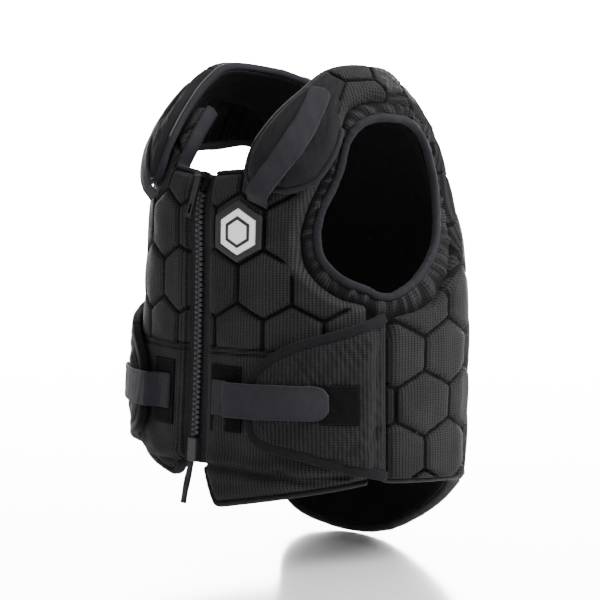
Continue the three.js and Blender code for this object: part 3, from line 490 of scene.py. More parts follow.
def mesh_fabric(name, thread=MESH_THREAD):
    """Air mesh: upright cords with fine bars between them, holes painted near black as the shade inside the
    openings over the foam, and painted shade along the grooves.
    """
    finish = Finish(name, roughness=0.85, specular=0.12, sheen=0.02)
    x, y = finish.cloth()
    hole = finish.wave(x, MESH_ACROSS).step(0.40, 0.75) * finish.wave(y, MESH_DOWN).step(0.12, 0.45)
    fuzz = finish.noise(0.05)
    base = finish.mix(fuzz.step(0.3, 0.7), MESH_WORN, thread)
    # Painted shade: the holes are drawn near black, as the shade that falls inside the mesh's openings.
    base = finish.mix(hole * (0.55 + 0.45 * finish.noise(0.018)), base, MESH_HOLE_SHADE)
    height = 1 - hole + 0.3 * finish.noise(0.0012)
    # Painted shade: where the groove mark is small, in grooves, seams and fold valleys, the cloth is drawn
    # near black. The same mask flattens the mesh's bump there.
    unshaded_open_cloth = finish.mark("groove").step(0.0007, 0.0026)
    finish.colour(finish.mix(unshaded_open_cloth, GROOVE_PAINTED_SHADE, base))
    finish.roughness(0.75 + 0.2 * hole)
    finish.bump(height * unshaded_open_cloth, 0.0005)
    return finish.material


def smooth_fabric(name, colour, worn, pitch, roughness=0.8, sheen=0.1):
    """Plain woven cloth: a fine over and under weave with faint slubs."""
    finish = Finish(name, roughness=roughness, specular=0.15, sheen=sheen)
    x, y = finish.cloth()
    weave = finish.wave(x, pitch) * finish.wave(y + x * 0.5, pitch)
    base = finish.mix(finish.noise(0.03).step(0.25, 0.75), worn, colour)
    finish.colour(finish.mix(weave * 0.5, base, worn))
    finish.bump(weave + 0.5 * finish.noise(0.004), 0.0002)
    return finish.material


covering = mesh_fabric("air_mesh")
wing_covering = mesh_fabric("wing_mesh", thread=grey(0.012, 0.013))
lining = smooth_fabric("lining", grey(0.0022, 0.0026), grey(0.0014, 0.0017), 0.0012, sheen=0.0)


def dress(piece, materials, node=None, body="root"):
    """Gives a piece its materials, hides the CAD node that it stands for and puts it on the body it rides on.
    """
    for material in materials:
        piece.data.materials.append(material)
    if node:
        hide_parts(node)
    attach(piece, body)
    return piece


def back_thickness(down):
    return between(FOAM, FOAM_TAIL, eased(down, TAIL_START, TAIL_THIN))


def back_place(u, t):
    half, edge, centre = smooth_row(BACK_ROWS, u * (len(BACK_ROWS) - 1))
    x = 2 * t - 1
    drift = TAIL_DRIFT * eased(edge, TAIL_START, BACK_ROWS[0][1])
    return 1 + drift + x * half, between(centre, edge, x * x)


def padded_lift(outside, edge, thickness, low=0.25, radius=RIM):
    """Height of a padded slab whose rim is rounded towards a line low in its thickness."""
    rim = rounded(edge, radius)
    foot = low * thickness
    return np.where(outside, between(foot, thickness, rim), between(foot * 0.5, 0, rim))


def raised(points, round_, down, amount):
    """The points again, each moved outwards by its own amount."""
    return points + outward(round_, down) * amount[:, None]


def back_panel(along=196, across=196):
    piece = slab("back_foam", along, across)
    flat = points_of(piece)
    height = np.ptp(BACK_ROWS[:, 1:].mean(axis=1)) * LENGTH
    share = rimmed(flat[:, 0], along, RIM / height)
    middle = BACK_ROWS[:, [0, 2]] * (0, 1)
    rows = row_numbers(BACK_ROWS[:, :2], middle)(share) / (len(BACK_ROWS) - 1)
    width = 2 * smooth_row(BACK_ROWS, rows * (len(BACK_ROWS) - 1))[0] * HALF_GIRTH
    t = rimmed(flat[:, 1], across, RIM / width)
    round_, down = back_place(rows, t)
    edge = np.minimum(np.minimum(t, 1 - t) * width, np.minimum(share, 1 - share) * height)
    pressed_round, pressed_down, groove = pressed(round_, down, BACK_HEXES)
    free = edge > RIM / 2
    round_, down = np.where(free, pressed_round, round_), np.where(free, pressed_down, down)
    thickness = back_thickness(down) + relief(groove) * eased(edge, 0, RIM)
    lift = padded_lift(flat[:, 2] > 0.5, edge, thickness)
    points = place(round_, down, lift)
    points = raised(points, round_, down, BACK_UNEVEN * ripple(points, 0.09, 3) * (edge > RIM))
    # The groove mark makes the mesh finish paint shade along the hexagon grooves.
    lay(piece, points, (round_ * HALF_GIRTH, down * LENGTH), groove=groove)
    return dress(piece, [covering, lining], "back_panel")


back_panel()

# Front panels: a left and a right slab of the same foam, open down the middle. Hexagon blocks are pressed
# into the chest part, a double seam closes them below, and the soft skirt under it creases at the waist.
FRONT_ROWS = np.array([
    # centre edge round and down, arm edge round and down
    [0.068, 0.828, 0.385, 0.770],
    [0.046, 0.785, 0.385, 0.757],
    [0.036, 0.750, 0.385, 0.730],
    [0.034, 0.682, 0.385, 0.660],
    [0.034, 0.625, 0.385, 0.600],
    [0.034, 0.568, 0.385, 0.540],
    [0.034, 0.510, 0.385, 0.485],
    [0.034, 0.455, *ARMHOLE[0, :2]],
    [0.034, 0.420, *ARMHOLE[1, :2]],
    [0.034, 0.382, *ARMHOLE[2, :2]],
    [0.034, 0.341, *ARMHOLE[3, :2]],
    [0.034, 0.295, *ARMHOLE[4, :2]],
    [0.034, 0.240, *ARMHOLE[5, :2]],
    [0.034, 0.176, *ARMHOLE[6, :2]],
    [0.130, 0.160, 0.305, 0.159],
    [0.140, 0.114, *ARMHOLE[7, :2]],
    [0.175, 0.057, *ARMHOLE[8, :2]],
    [0.235, -0.002, 0.362, 0.045],
])
FRONT_HEXES = {"half": 0.0605, "row": 0.1057, "round": 0.121, "down": 0.282, "upright": 0.70}
FRONT_SEAMS = [np.array([[0.037, down], [0.30, down]]) for down in (0.516, 0.527)]
HEM_CREASES = [
    np.array([[0.050, 0.752], [0.138, 0.757], [0.185, 0.763],
              [0.240, 0.764], [0.293, 0.763], [0.345, 0.760]]),
    np.array([[0.215, 0.755], [0.258, 0.772], [0.320, 0.772]]),
]
SEAM_DEPTH = 0.0016
SEAM_WIDTH = 0.0022
CREASE_DEPTH = 0.0046
CREASE_WIDTH = 0.0042
CREASE_LIP = 0.0016
LIP_DISTANCE = 0.007
LIP_WIDTH = 0.005
ARM_MARGIN = (0.008, 0.017)
FRONT_RUN = 0.85 * LENGTH
FRONT_UNEVEN = 0.0007
WAIST_UNEVEN = 0.0009
RIGHT_HEM_RISE = 0.05
RISING_ROWS = 3


def front_place(side, r, t):
    a, b, c, d = smooth_row(FRONT_ROWS, r)
    rise = RIGHT_HEM_RISE * np.maximum(0, 1 - r / RISING_ROWS) if side < 0 else 0
    return side * between(a, c, t), between(b, d, t) - rise


def line_distance(spots, line):
    """How far each flat spot lies from a line of points, in metres."""
    best = np.full(len(spots), np.inf)
    for a, b in zip(line[:-1], line[1:]):
        along = b - a
        t = np.clip((spots - a) @ along / (along @ along), 0, 1)
        best = np.minimum(best, np.linalg.norm(spots - a - t[:, None] * along, axis=1))
    return best


def outline_distance(spots, outline):
    """How far each flat spot lies from a panel's closed outline, in metres."""
    tree = KDTree(len(outline))
    for k, (x, y) in enumerate(outline):
        tree.insert((x, y, 0), k)
    tree.balance()
    nearest = np.array([tree.find((x, y, 0))[1] for x, y in spots])
    best = np.full(len(spots), np.inf)
    for step in (-1, 0):
        a = outline[(nearest + step) % len(outline)]
        along = outline[(nearest + step + 1) % len(outline)] - a
        t = np.clip(((spots - a) * along).sum(1) / np.maximum((along ** 2).sum(1), 1e-12), 0, 1)
        best = np.minimum(best, np.linalg.norm(spots - a - t[:, None] * along, axis=1))
    return best


def outline_of(at, segments):
    """A panel's outline on the flat pattern, from its place function on shares of both its directions."""
    s = np.linspace(0, 1, segments, endpoint=False)
    sides = [at(s, 0 * s), at(1 + 0 * s, s), at(1 - s, 1 + 0 * s), at(0 * s, 1 - s)]
    return np.concatenate([np.stack(side, 1) for side in sides]) * FLAT


def edge_distance(flat, spots, at, segments=500):
    """How far each vertex of a slab lies from its panel's outline, in metres, and 0 all along its rim."""
    on_rim = ((flat[:, :2] < 1e-4) | (flat[:, :2] > 1 - 1e-4)).any(axis=1)
    return np.where(on_rim, 0, outline_distance(spots, outline_of(at, segments)))


def front_panel(side, word, along=184, across=64):
    piece = slab(f"front_foam_{word}", along, across)
    flat = points_of(piece)
    rows = row_numbers(FRONT_ROWS[:, :2], FRONT_ROWS[:, 2:])
    at = lambda u, t: front_place(side, rows(u), t)
    share = rimmed(flat[:, 0], along, RIM / FRONT_RUN)
    edges = smooth_row(FRONT_ROWS, rows(share))
    width = np.hypot((edges[2] - edges[0]) * HALF_GIRTH, (edges[3] - edges[1]) * LENGTH)
    t = rimmed(flat[:, 1], across, RIM / width)
    round_, down = at(share, t)
    spots = np.stack([round_, down], 1) * FLAT
    edge = edge_distance(flat, spots, at)
    lattice = dict(FRONT_HEXES, round=side * FRONT_HEXES["round"])
    snapped_round, snapped_down, groove = pressed(round_, down, lattice, np.minimum(CELL, width / across))
    chest = down < FRONT_SEAMS[0][0, 1] + 0.001
    free = chest & (edge > RIM / 2)
    round_, down = np.where(free, snapped_round, round_), np.where(free, snapped_down, down)
    spots = np.stack([round_, down], 1) * FLAT
    mirrored = np.array([side, 1]) * FLAT
    arm_side = (1 - t) * width
    groove = np.where(chest, groove, GROOVE) + GROOVE * (1 - eased(arm_side, *ARM_MARGIN))
    seams = np.min([line_distance(spots, line * mirrored) for line in FRONT_SEAMS], axis=0)
    creases = np.min([line_distance(spots, line * mirrored) for line in HEM_CREASES], axis=0)
    body = relief(groove) - SEAM_DEPTH * (1 - eased(seams, 0, SEAM_WIDTH))
    body += CREASE_LIP * np.exp(-((creases - LIP_DISTANCE) / LIP_WIDTH) ** 2)
    body -= CREASE_DEPTH * (1 - eased(creases, 0, CREASE_WIDTH))
    lift = padded_lift(flat[:, 2] > 0.5, edge, FOAM + body * eased(edge, 0, RIM))
    points = place(round_, down, lift)
    uneven = FRONT_UNEVEN + WAIST_UNEVEN * eased(down, 0.50, 0.70)
    points = raised(points, round_, down, uneven * ripple(points, 0.06, 11) * eased(edge, RIM, 2 * RIM))
    # The groove mark takes in the seams as well, so the mesh finish paints shade along the hexagon grooves
    # and the double seam.
    lay(piece, points, (round_ * HALF_GIRTH, down * LENGTH), groove=np.minimum(groove, seams + 0.0004))
    return dress(piece, [covering, lining], f"front_panel_{word}")


SIDES = (("left", 1), ("right", -1))
for word, side in SIDES:
    front_panel(side, word)

# Armholes: a band of the same air mesh is gathered onto a folded tape that lines the opening, so that the
# armhole stretches with the arm. The gathers are tightest over the shoulder and low on the back.
GATHER_LIFT = 0.0024
GATHER_THICK = 0.0036
GATHER_INNER = 0.62
GATHER_TUCK = 0.68
GATHER_OUTER = -0.12
ARM_TAPE = 0.007
SEAM_GAP = 0.0005
BESIDE = 0.0040
OUTER_CLOTH = 0.7
GATHER_SLANT = 0.0010
GATHER_WIDTH = 0.016
RUFFLES = 54
RUFFLE_SCATTER = 0.32
RUFFLE_WIDTH = (0.0019, 0.0044)
RUFFLE_HEIGHT = (0.0020, 0.0052)
RUFFLE_SLANT = 0.006
RUFFLE_REACH = (0.15, 0.75)
SLACK = 0.45
TIGHT_PLACES = (
    # place round the opening, spread, extra height of the folds
    (0.50, 0.10, 0.75),
    (0.80, 0.09, 0.65),
)
# Level of the painted fold shade mark where the band lies flat.
FOLD_SHADE_LEVEL = 0.0018
ROUTE_STEP = 0.0016
TUBE_SIDES = 20
TUBE_END = 0.003
TUBE_TIP = 0.25
STITCH_PITCH = 0.0032
STITCH_LENGTH = 0.0022
# The wearer's right opening hangs lower over the shoulder, by these shares of LENGTH in five rows.
DROOP = (0.06, 0.14, 0.15, 0.14, 0.07)
DROOP_ROWS = slice(8, 13)
RIGHT_ARMHOLE = ARMHOLE.copy()
RIGHT_ARMHOLE[DROOP_ROWS, 3] += DROOP
ROUND_ARM = {1: np.concatenate([ARMHOLE] * 3), -1: np.concatenate([RIGHT_ARMHOLE] * 3)}


def armhole_place(side, turn, share):
    """Place round one armhole: turn runs from 0 to 1 round the opening, share from the foam to the tape."""
    a, b, c, d, height = smooth_row(ROUND_ARM[side], len(ARMHOLE) * (1 + turn))
    return between(a, c, share), between(b, d, share), FOAM * height


def open_grid(name, along, across):
    bm = bmesh.new()
    bmesh.ops.create_grid(bm, x_segments=along, y_segments=across, size=0.5)
    bmesh.ops.translate(bm, verts=bm.verts, vec=(0.5, 0.5, 0))
    return bring(name, bm)


def ruffles(reached, girth, share, seed):
    """Folds across the band: each has its own place, width, height and slant, and swells towards the tape."""
    spread = np.random.default_rng(seed)
    scatter = spread.uniform(-RUFFLE_SCATTER, RUFFLE_SCATTER, RUFFLES)
    centres = (np.arange(RUFFLES) + scatter) * girth / RUFFLES
    tight = np.full(RUFFLES, SLACK)
    for place_round, reach, strength in TIGHT_PLACES:
        tight += strength * np.exp(-((centres / girth - place_round) / reach) ** 2)
    total = np.zeros(len(reached))
    for centre, strength in zip(centres, tight):
        width = spread.uniform(*RUFFLE_WIDTH)
        height = strength * spread.uniform(*RUFFLE_HEIGHT)
        slant = spread.uniform(-RUFFLE_SLANT, RUFFLE_SLANT)
        reach = spread.uniform(*RUFFLE_REACH)
        gap = (reached - centre - slant * (share - 0.5) + girth / 2) % girth - girth / 2
        total += height * np.exp(-(gap / width) ** 2) * eased(share, reach - 0.55, reach + 0.30)
    return total - total.mean()


def gathered_band(side, word, around=620, across=26):
    piece = open_grid(f"gathered_mesh_{word}", around, across)
    flat = points_of(piece)
    turns = np.linspace(0, 1, 1201)
    loop = place(*armhole_place(side, turns, 0.4))
    reached = np.concatenate([[0], np.cumsum(np.linalg.norm(np.diff(loop, axis=0), axis=1))])
    turn = np.interp(flat[:, 0] * reached[-1], reached, turns) % 1
    along = flat[:, 0] * reached[-1]
    outside = flat[:, 1] < OUTER_CLOTH
    for face in piece.data.polygons:
        face.material_index = int(not outside[face.vertices[0]] and not outside[face.vertices[2]])
    share = np.where(outside, flat[:, 1] / OUTER_CLOTH, (1 - flat[:, 1]) / (1 - OUTER_CLOTH))
    round_, down, height = armhole_place(side, turn, between(GATHER_OUTER, GATHER_TUCK, share))
    belly = GATHER_LIFT * np.sin(np.pi * np.clip(share, 0, 1)) ** 0.8
    folds = ruffles(along, reached[-1], share, 40 + side)
    folds *= np.sin(np.pi * np.clip(share, 0.06, 0.94)) ** 0.35
    lift = height + belly + folds - np.where(outside, 0, GATHER_THICK * np.sin(np.pi * share) ** 0.5)
    lift += GATHER_SLANT * (share - 0.5)
    points = place(side * round_, down, lift)
    # Painted shade: the groove mark follows the folds, so the mesh finish draws the fold valleys dark and the
    # whole band part way to the shade colour.
    lay(piece, points, (along, share * GATHER_WIDTH), weld=True, groove=FOLD_SHADE_LEVEL + 0.8 * folds)
    return dress(piece, [gathered, lining], f"armhole_gather_{word}")


def evenly(path, step, closed=False):
    """A route of places (round, down, lift) again, with places an even step apart."""
    if closed:
        path = np.concatenate([path, path[:1]])
    spots = place(*path.T)
    reached = np.concatenate([[0], np.cumsum(np.linalg.norm(np.diff(spots, axis=0), axis=1))])
    count = max(int(round(reached[-1] / step)), 2)
    at = np.linspace(0, reached[-1], count + 1)
    return np.stack([np.interp(at, reached, column) for column in path.T], 1)[:count if closed else None]


def softened(path, times, closed=False):
    for _ in range(times):
        smooth = (np.roll(path, 1, 0) + 2 * path + np.roll(path, -1, 0)) / 4
        if not closed:
            smooth[[0, -1]] = path[[0, -1]]
        path = smooth
    return path


def directions(path, closed):
    """A route's spots, and which way is onward, sideways and outward at each of them."""
    spots = place(*path.T)
    before, after = np.roll(spots, 1, 0), np.roll(spots, -1, 0)
    if not closed:
        before[0], after[-1] = spots[0], spots[-1]
    onward = unit(after - before)
    beside = unit(np.cross(onward, outward(path[:, 0], path[:, 1])))
    return spots, onward, beside, np.cross(beside, onward)


def sleeve(name, path, width, thick, shift=0.0, closed=False, square=2.8, uneven=0.04):
    """A closed tube of flattened section along a route, as a folded tape or a piping is."""
    count = len(path)
    piece = open_grid(name, count if closed else count - 1, TUBE_SIDES)
    flat = points_of(piece)
    i = np.rint(flat[:, 0] * (count if closed else count - 1)).astype(int) % count
    spots, _, beside, up = directions(path, closed)
    step = np.linalg.norm(np.diff(spots, axis=0), axis=1)
    reached = np.concatenate([[0], np.cumsum(step)])
    tip = np.full(count, 1.0)
    if not closed:
        tip = between(TUBE_TIP, 1, rounded(np.minimum(reached, reached[-1] - reached), TUBE_END))
    tip = tip * (1 + uneven * ripple(spots, 0.012, count))
    angle = 2 * np.pi * flat[:, 1]
    x = np.sign(np.cos(angle)) * np.abs(np.cos(angle)) ** (2 / square)
    y = np.sign(np.sin(angle)) * np.abs(np.sin(angle)) ** (2 / square)
    points = spots[i] + beside[i] * (shift + x * width / 2 * tip[i])[:, None]
    points += up[i] * (y * thick / 2 * tip[i])[:, None]
    lay(piece, points, (reached[i], flat[:, 1] * (width + thick)), weld=True)
    return piece


def stitches(name, path, shift=0.0, closed=False, thick=0.0005):
    """A row of thread stitches along a route, each one a small sunk bead."""
    path = evenly(path, STITCH_PITCH, closed)
    spots, onward, beside, up = directions(path, closed)
    bm = bmesh.new()
    for spot, a, b, c in zip(spots + beside * shift, onward, beside, up):
        axes = np.column_stack([a * STITCH_LENGTH, b * thick, c * thick]) / 2
        matrix = Matrix(axes.tolist()).to_4x4()
        matrix.translation = spot
        bmesh.ops.create_icosphere(bm, subdivisions=1, radius=1, matrix=matrix)
    return dress(bring(name, bm), [thread])


gathered = mesh_fabric("gathered_mesh", thread=grey(0.026, 0.028))
binding_tape = smooth_fabric("binding_tape", grey(0.012, 0.016), grey(0.008, 0.011), 0.0009, 0.7, 0.03)
thread = smooth_fabric("thread", grey(0.009, 0.011), grey(0.006, 0.007), 0.0004, 0.6, 0.02)
for word, side in SIDES:
    gathered_band(side, word)
    turns = np.linspace(0, 1, 400, endpoint=False)
    ring = np.stack(armhole_place(side, turns, GATHER_INNER), 1) * (side, 1, 1)
    ring = softened(evenly(ring, ROUTE_STEP, closed=True), 6, closed=True)
    tape = sleeve(f"armhole_tape_{word}", ring, ARM_TAPE, ARM_TAPE, side * BESIDE, closed=True, uneven=0.07)
    dress(tape, [binding_tape], f"armhole_binding_{word}")

# Pipings: a narrow black tape is sewn round the foam's raw edges at the neck and along the hem.
PIPING = 0.005
BESIDE_PIPING = 0.0011
ZIP_FOOT = 0.752
NECK_ROW = 13


def piping(name, path, thick, shift, node):
    tube = sleeve(name, softened(evenly(path, ROUTE_STEP), 5), PIPING, thick, shift=shift, square=2.4)
    dress(tube, [binding_tape], node)


def back_edge(u, t):
    return np.stack(back_place(u, t), 1)


def with_lift(places, lift):
    return np.column_stack([places, np.broadcast_to(lift, len(places))])


SHARES = np.linspace(0, 1, 120)
for word, side in SIDES:
    neck = np.stack(front_place(side, between(NECK_ROW + 0.03, len(FRONT_ROWS) - 1, SHARES), 0), 1)
    piping(f"neck_piping_{word}", with_lift(neck, FOAM / 2), 0.7 * FOAM, -side * BESIDE_PIPING,
           f"front_neck_binding_{word}")
    centre = np.stack(front_place(side, between(2, 0, SHARES), 0), 1)
    centre = centre[centre[:, 1] > ZIP_FOOT + 0.002]
    hem = np.concatenate([centre, np.stack(front_place(side, 0 * SHARES, SHARES), 1)[1:]])
    piping(f"hem_piping_{word}", with_lift(hem, FOAM / 2), 0.6 * FOAM, side * BESIDE_PIPING,
           f"front_hem_binding_{word}")
collar = back_edge(1, between(0.02, 0.98, SHARES))
piping("collar_piping", with_lift(collar, FOAM / 2), 0.7 * FOAM, -BESIDE_PIPING, "back_neck_binding")
side_rows = np.linspace(8, 0, 120) / (len(BACK_ROWS) - 1)
tail = np.concatenate([back_edge(side_rows, 0), back_edge(0, SHARES)[1:-1], back_edge(side_rows[::-1], 1)])
piping("tail_piping", with_lift(tail, back_thickness(tail[:, 1]) / 2), 0.7 * FOAM_TAIL, BESIDE_PIPING,
       "back_hem_binding")

# Front zip: black woven tape sewn under each centre edge, one moulded plastic tooth after another clamped
# to its cord, a box at the foot, and a lacquered slider whose pull hangs from a pin.
ZIP_TOP = 0.172
ZIP_BOX = 0.702
TAPE_EDGE = 0.040
TAPE_INNER = 0.0007
TAPE_LOW = FOAM / 2
TAPE_THICK = 0.0014
CHAIN_LOW = TAPE_LOW + TAPE_THICK + SEAM_GAP
TOOTH_PITCH = 0.0045
CHAIN_THICK = 0.0032
SLIDER_LENGTH = 0.017
TAPE_RIBS = (
    # share across the tape, width as a share, height
    (0.30, 0.05, 0.0006),
    (0.90, 0.04, 0.0005),
)
TOOTH_PARTS = (
    # distance from the middle, width, length, thickness
    (0.0030, 0.0032, 0.0031, CHAIN_THICK),
    (0.0007, 0.0034, 0.0019, 0.0025),
)


def zip_tape(side, word, along=150, across=18):
    piece = slab(f"zip_tape_{word}", along, across)
    flat = points_of(piece)
    t = rimmed(flat[:, 1], across, 0.06, 2)
    round_, down = between(TAPE_INNER, TAPE_EDGE, t), between(ZIP_TOP, ZIP_FOOT, flat[:, 0])
    rib = sum(height * np.exp(-((t - middle) / width) ** 2) for middle, width, height in TAPE_RIBS)
    lift = TAPE_LOW + np.where(flat[:, 2] > 0.5, TAPE_THICK + rib, 0)
    points = place(side * round_, down, lift)
    lay(piece, points, (round_ * HALF_GIRTH, down * LENGTH))
    dress(piece, [zip_weave], f"zip_tape_{word}")


def seat(down, lift):
    """A frame on the front's centre line: x across, y up the front, z out of the fabric."""
    spot = place(0, down, lift)
    out = outward(np.array(0.0), np.array(down))
    across = np.array([1.0, 0, 0])
    return Matrix(np.column_stack([across, np.cross(out, across), out]).tolist()).to_4x4(), Vector(spot)


def tooth(bm, frame, side):
    """One tooth: a foot clamped on the tape's cord and a narrower head that crosses the middle."""
    for x, width, length, thick in TOOTH_PARTS:
        size = Matrix.Diagonal((width, length, thick, 1))
        bmesh.ops.create_cube(bm, size=1, matrix=frame @ Matrix.Translation((side * x, 0, 0)) @ size)


def zip_chain():
    top = ZIP_TOP + (SLIDER_LENGTH + 2 * SEAM_GAP) / LENGTH
    count = int((ZIP_BOX - top) * LENGTH / TOOTH_PITCH * 2)
    bm = bmesh.new()
    for k in range(count):
        turn, spot = seat(top + (k + 0.7) * TOOTH_PITCH / 2 / LENGTH, CHAIN_LOW + CHAIN_THICK / 2)
        tooth(bm, Matrix.Translation(spot) @ turn, 1 if k % 2 else -1)
    bmesh.ops.bevel(bm, geom=bm.edges[:], offset=0.00035, segments=2, profile=0.5, affect="EDGES",
                    material=-1)
    return dress(bring("zip_teeth", bm), [tooth_plastic], "zip_chain")


def eased_copy(node, name, materials, offset, body="root"):
    """A hard CAD piece again, with its edges broken by a small radius. The radius takes the second finish."""
    bm = bmesh.new()
    bm.from_mesh(frame["nodes"][node].data)
    bmesh.ops.remove_doubles(bm, verts=bm.verts, dist=1e-6)
    bmesh.ops.dissolve_limit(bm, angle_limit=math.radians(2), verts=bm.verts, edges=bm.edges)
    for face in bm.faces:
        face.material_index = 0
    sharp = [edge for edge in bm.edges if edge.calc_face_angle(0) > math.radians(35)]
    made = bmesh.ops.bevel(bm, geom=sharp, offset=offset, segments=2, profile=0.5, affect="EDGES",
                           material=-1, clamp_overlap=True)
    for face in made["faces"]:
        face.material_index = 1
    bmesh.ops.triangulate(bm, faces=[face for face in bm.faces if len(face.verts) > 4])
    piece = bring(name, bm)
    piece.data.shade_flat()
    return dress(piece, materials, node, body)


def moulded(name, colour, worn, roughness, metallic=0.0, grain=0.0009):
    """Moulded or lacquered trim: fine grain, and handling marks that dull and lighten it in places."""
    finish = Finish(name, roughness=roughness, metallic=metallic)
    marks = finish.noise(0.004, 5).step(0.45, 0.75)
    finish.colour(finish.mix(marks * 0.6, colour, worn))
    finish.roughness(roughness + 0.15 * marks)
    finish.bump(finish.noise(grain), 0.00006)
    return finish.material


zip_weave = smooth_fabric("zip_weave", grey(0.014, 0.017), grey(0.008, 0.010), 0.0007, 0.75, 0.02)
tooth_plastic = moulded("tooth_plastic", grey(0.014, 0.016), grey(0.026, 0.029), 0.48)
lacquer = moulded("lacquer", grey(0.014, 0.015), grey(0.035, 0.037), 0.28, 0.5)
worn_metal = moulded("worn_metal", grey(0.20, 0.21), grey(0.05, 0.053), 0.30, 0.8)
for word, side in SIDES:
    zip_tape(side, word)
zip_chain()
eased_copy("zip_box", "zip_box_shell", [tooth_plastic, tooth_plastic], 0.0009)
eased_copy("zip_slider", "slider_body", [lacquer, worn_metal], 0.0005)
eased_copy("zip_pull", "pull_tag", [lacquer, worn_metal], 0.0004, body="zip_pull")

# Hem tab: a short end of soft webbing, tacked under the foot of the zip.
TAB_WIDTH = 0.007
TAB_LENGTH = 0.038
TAB_ROUND = (-0.020, -0.040)
WEBBING = 0.0022
WEBBING_UNEVEN = 0.00025
BAND_ENDS = 0.02
SWELL_EDGE = 0.006


def band(name, along, across, at, width, low, thick, radius=0.0011, swell=0.0):
    """A thin flat piece on the form, such as a strap or a patch, with softly rounded edges."""
    piece = slab(name, along, across)
    flat = points_of(piece)
    length_share = rimmed(flat[:, 0], along, BAND_ENDS, 3)
    t = rimmed(flat[:, 1], across, radius / width, 3)
    round_, down = at(length_share, t)
    spots = np.stack([round_, down], 1) * FLAT
    edge = edge_distance(flat, spots, at, 240)
    high = thick + swell * (1 - np.exp(-edge / SWELL_EDGE))
    lift = low(length_share) + padded_lift(flat[:, 2] > 0.5, edge, high, 0.35, radius)
    points = place(round_, down, lift)
    points = raised(points, round_, down, WEBBING_UNEVEN * ripple(points, 0.022, along))
    lay(piece, points, (spots[:, 0], spots[:, 1] if width > TAB_WIDTH else t * width))
    return piece


def tab_place(u, t):
    half = TAB_WIDTH / 2 / HALF_GIRTH
    top = ZIP_FOOT + SEAM_GAP / LENGTH
    return between(*TAB_ROUND, u) + between(-half, half, t), top + u * TAB_LENGTH / LENGTH


brushed = smooth_fabric("brushed_webbing", grey(0.022, 0.027), grey(0.016, 0.020), 0.0011, 0.85, 0.05)
tab = band("hem_tab_tape", 40, 10, tab_place, TAB_WIDTH, lambda u: TAPE_LOW, WEBBING)
dress(tab, [brushed], "hem_tab")

# Side wings: thin padded flaps sewn into the side seams and lapped over the front, faced with air mesh and
# bound all round with a flat folded tape. A mesh strip joins the front and back foam under each hinge.
OVER_FOAM = 0.0207
WING_FOAM = 0.009
WING_SEAM_LIFT = 0.004
WING_BINDING = 0.009
WING_BESIDE = 0.0026
HINGE_THIN = 0.0065
HINGE_REACH = 0.020
WING_RUN = 0.26 * HALF_GIRTH
WING_CROWN = 0.0012
WING_CROWN_REACH = 0.015
WING_CREASE_DEPTH = 0.0018
WING_CREASE_WIDTH = 0.0032
WING_LIP = 0.0009
WING_LIP_DISTANCE = 0.006
WING_LIP_WIDTH = 0.004
WING_TAPE_THICK = 0.008
WING_STITCH_LIFT = 0.0040
WING_STITCH_INSET = 0.0034
WING_ROWS = np.array([
    # round, top edge down, bottom edge down, share of the full lift over the front panel
    [0.416, 0.455, 0.755, 0.55],
    [0.390, 0.466, 0.748, 0.85],
    [0.355, 0.478, 0.740, 1.00],
    [0.319, 0.490, 0.729, 1.00],
    [0.270, 0.505, 0.713, 1.00],
    [0.225, 0.527, 0.703, 1.00],
    [0.200, 0.545, 0.697, 1.00],
    [0.185, 0.560, 0.689, 1.00],
    [0.175, 0.580, 0.676, 1.00],
    [0.170, 0.608, 0.654, 1.00],
])
WING_CREASES = [
    np.array([[0.398, 0.470], [0.394, 0.600], [0.388, 0.740]]),
    np.array([[0.392, 0.668], [0.372, 0.700], [0.345, 0.716]]),
    np.array([[0.350, 0.700], [0.330, 0.722], [0.300, 0.728]]),
]


def wing_place(side, r, t):
    round_, top, bottom, share = smooth_row(WING_ROWS, r)
    return side * round_, between(top, bottom, t), share


def wing(side, word, along=120, across=100):
    piece = slab(f"wing_pad_{word}", along, across)
    flat = points_of(piece)
    rows = row_numbers(WING_ROWS[:, :2], WING_ROWS[:, [0, 2]])
    at = lambda u, t: wing_place(side, rows(u), t)[:2]
    share = rimmed(flat[:, 0], along, RIM / 2 / WING_RUN)
    _, top, bottom, _ = smooth_row(WING_ROWS, rows(share))
    width = (bottom - top) * LENGTH
    t = rimmed(flat[:, 1], across, RIM / 2 / width)
    round_, down, lifted = wing_place(side, rows(share), t)
    spots = np.stack([round_, down], 1) * FLAT
    edge = edge_distance(flat, spots, at)
    low = between(WING_SEAM_LIFT, OVER_FOAM, lifted)
    thick = WING_FOAM * (2 - lifted) + WING_CROWN * (1 - np.exp(-edge / WING_CROWN_REACH))
    hinge = (WING_ROWS[0, 0] - np.abs(round_)) * HALF_GIRTH
    thick -= HINGE_THIN * (1 - eased(hinge, 0, HINGE_REACH))
    for crease in WING_CREASES:
        near = line_distance(spots, crease * np.array([side, 1]) * FLAT)
        lip = WING_LIP * np.exp(-((near - WING_LIP_DISTANCE) / WING_LIP_WIDTH) ** 2)
        thick += lip - WING_CREASE_DEPTH * np.exp(-(near / WING_CREASE_WIDTH) ** 2)
    lift = low + padded_lift(flat[:, 2] > 0.5, edge, thick, 0.5, RIM / 2)
    points = place(round_, down, lift)
    uneven = 0.0008 * ripple(points, 0.05, 21) + 0.0005 * ripple(points, 0.018, 22)
    points = raised(points, round_, down, uneven * eased(edge, 0, RIM) * (flat[:, 2] > 0.5))
    lay(piece, points, (spots[:, 0], spots[:, 1]), groove=np.full(len(flat), GROOVE))
    return dress(piece, [wing_covering, lining], f"side_wing_{word}")


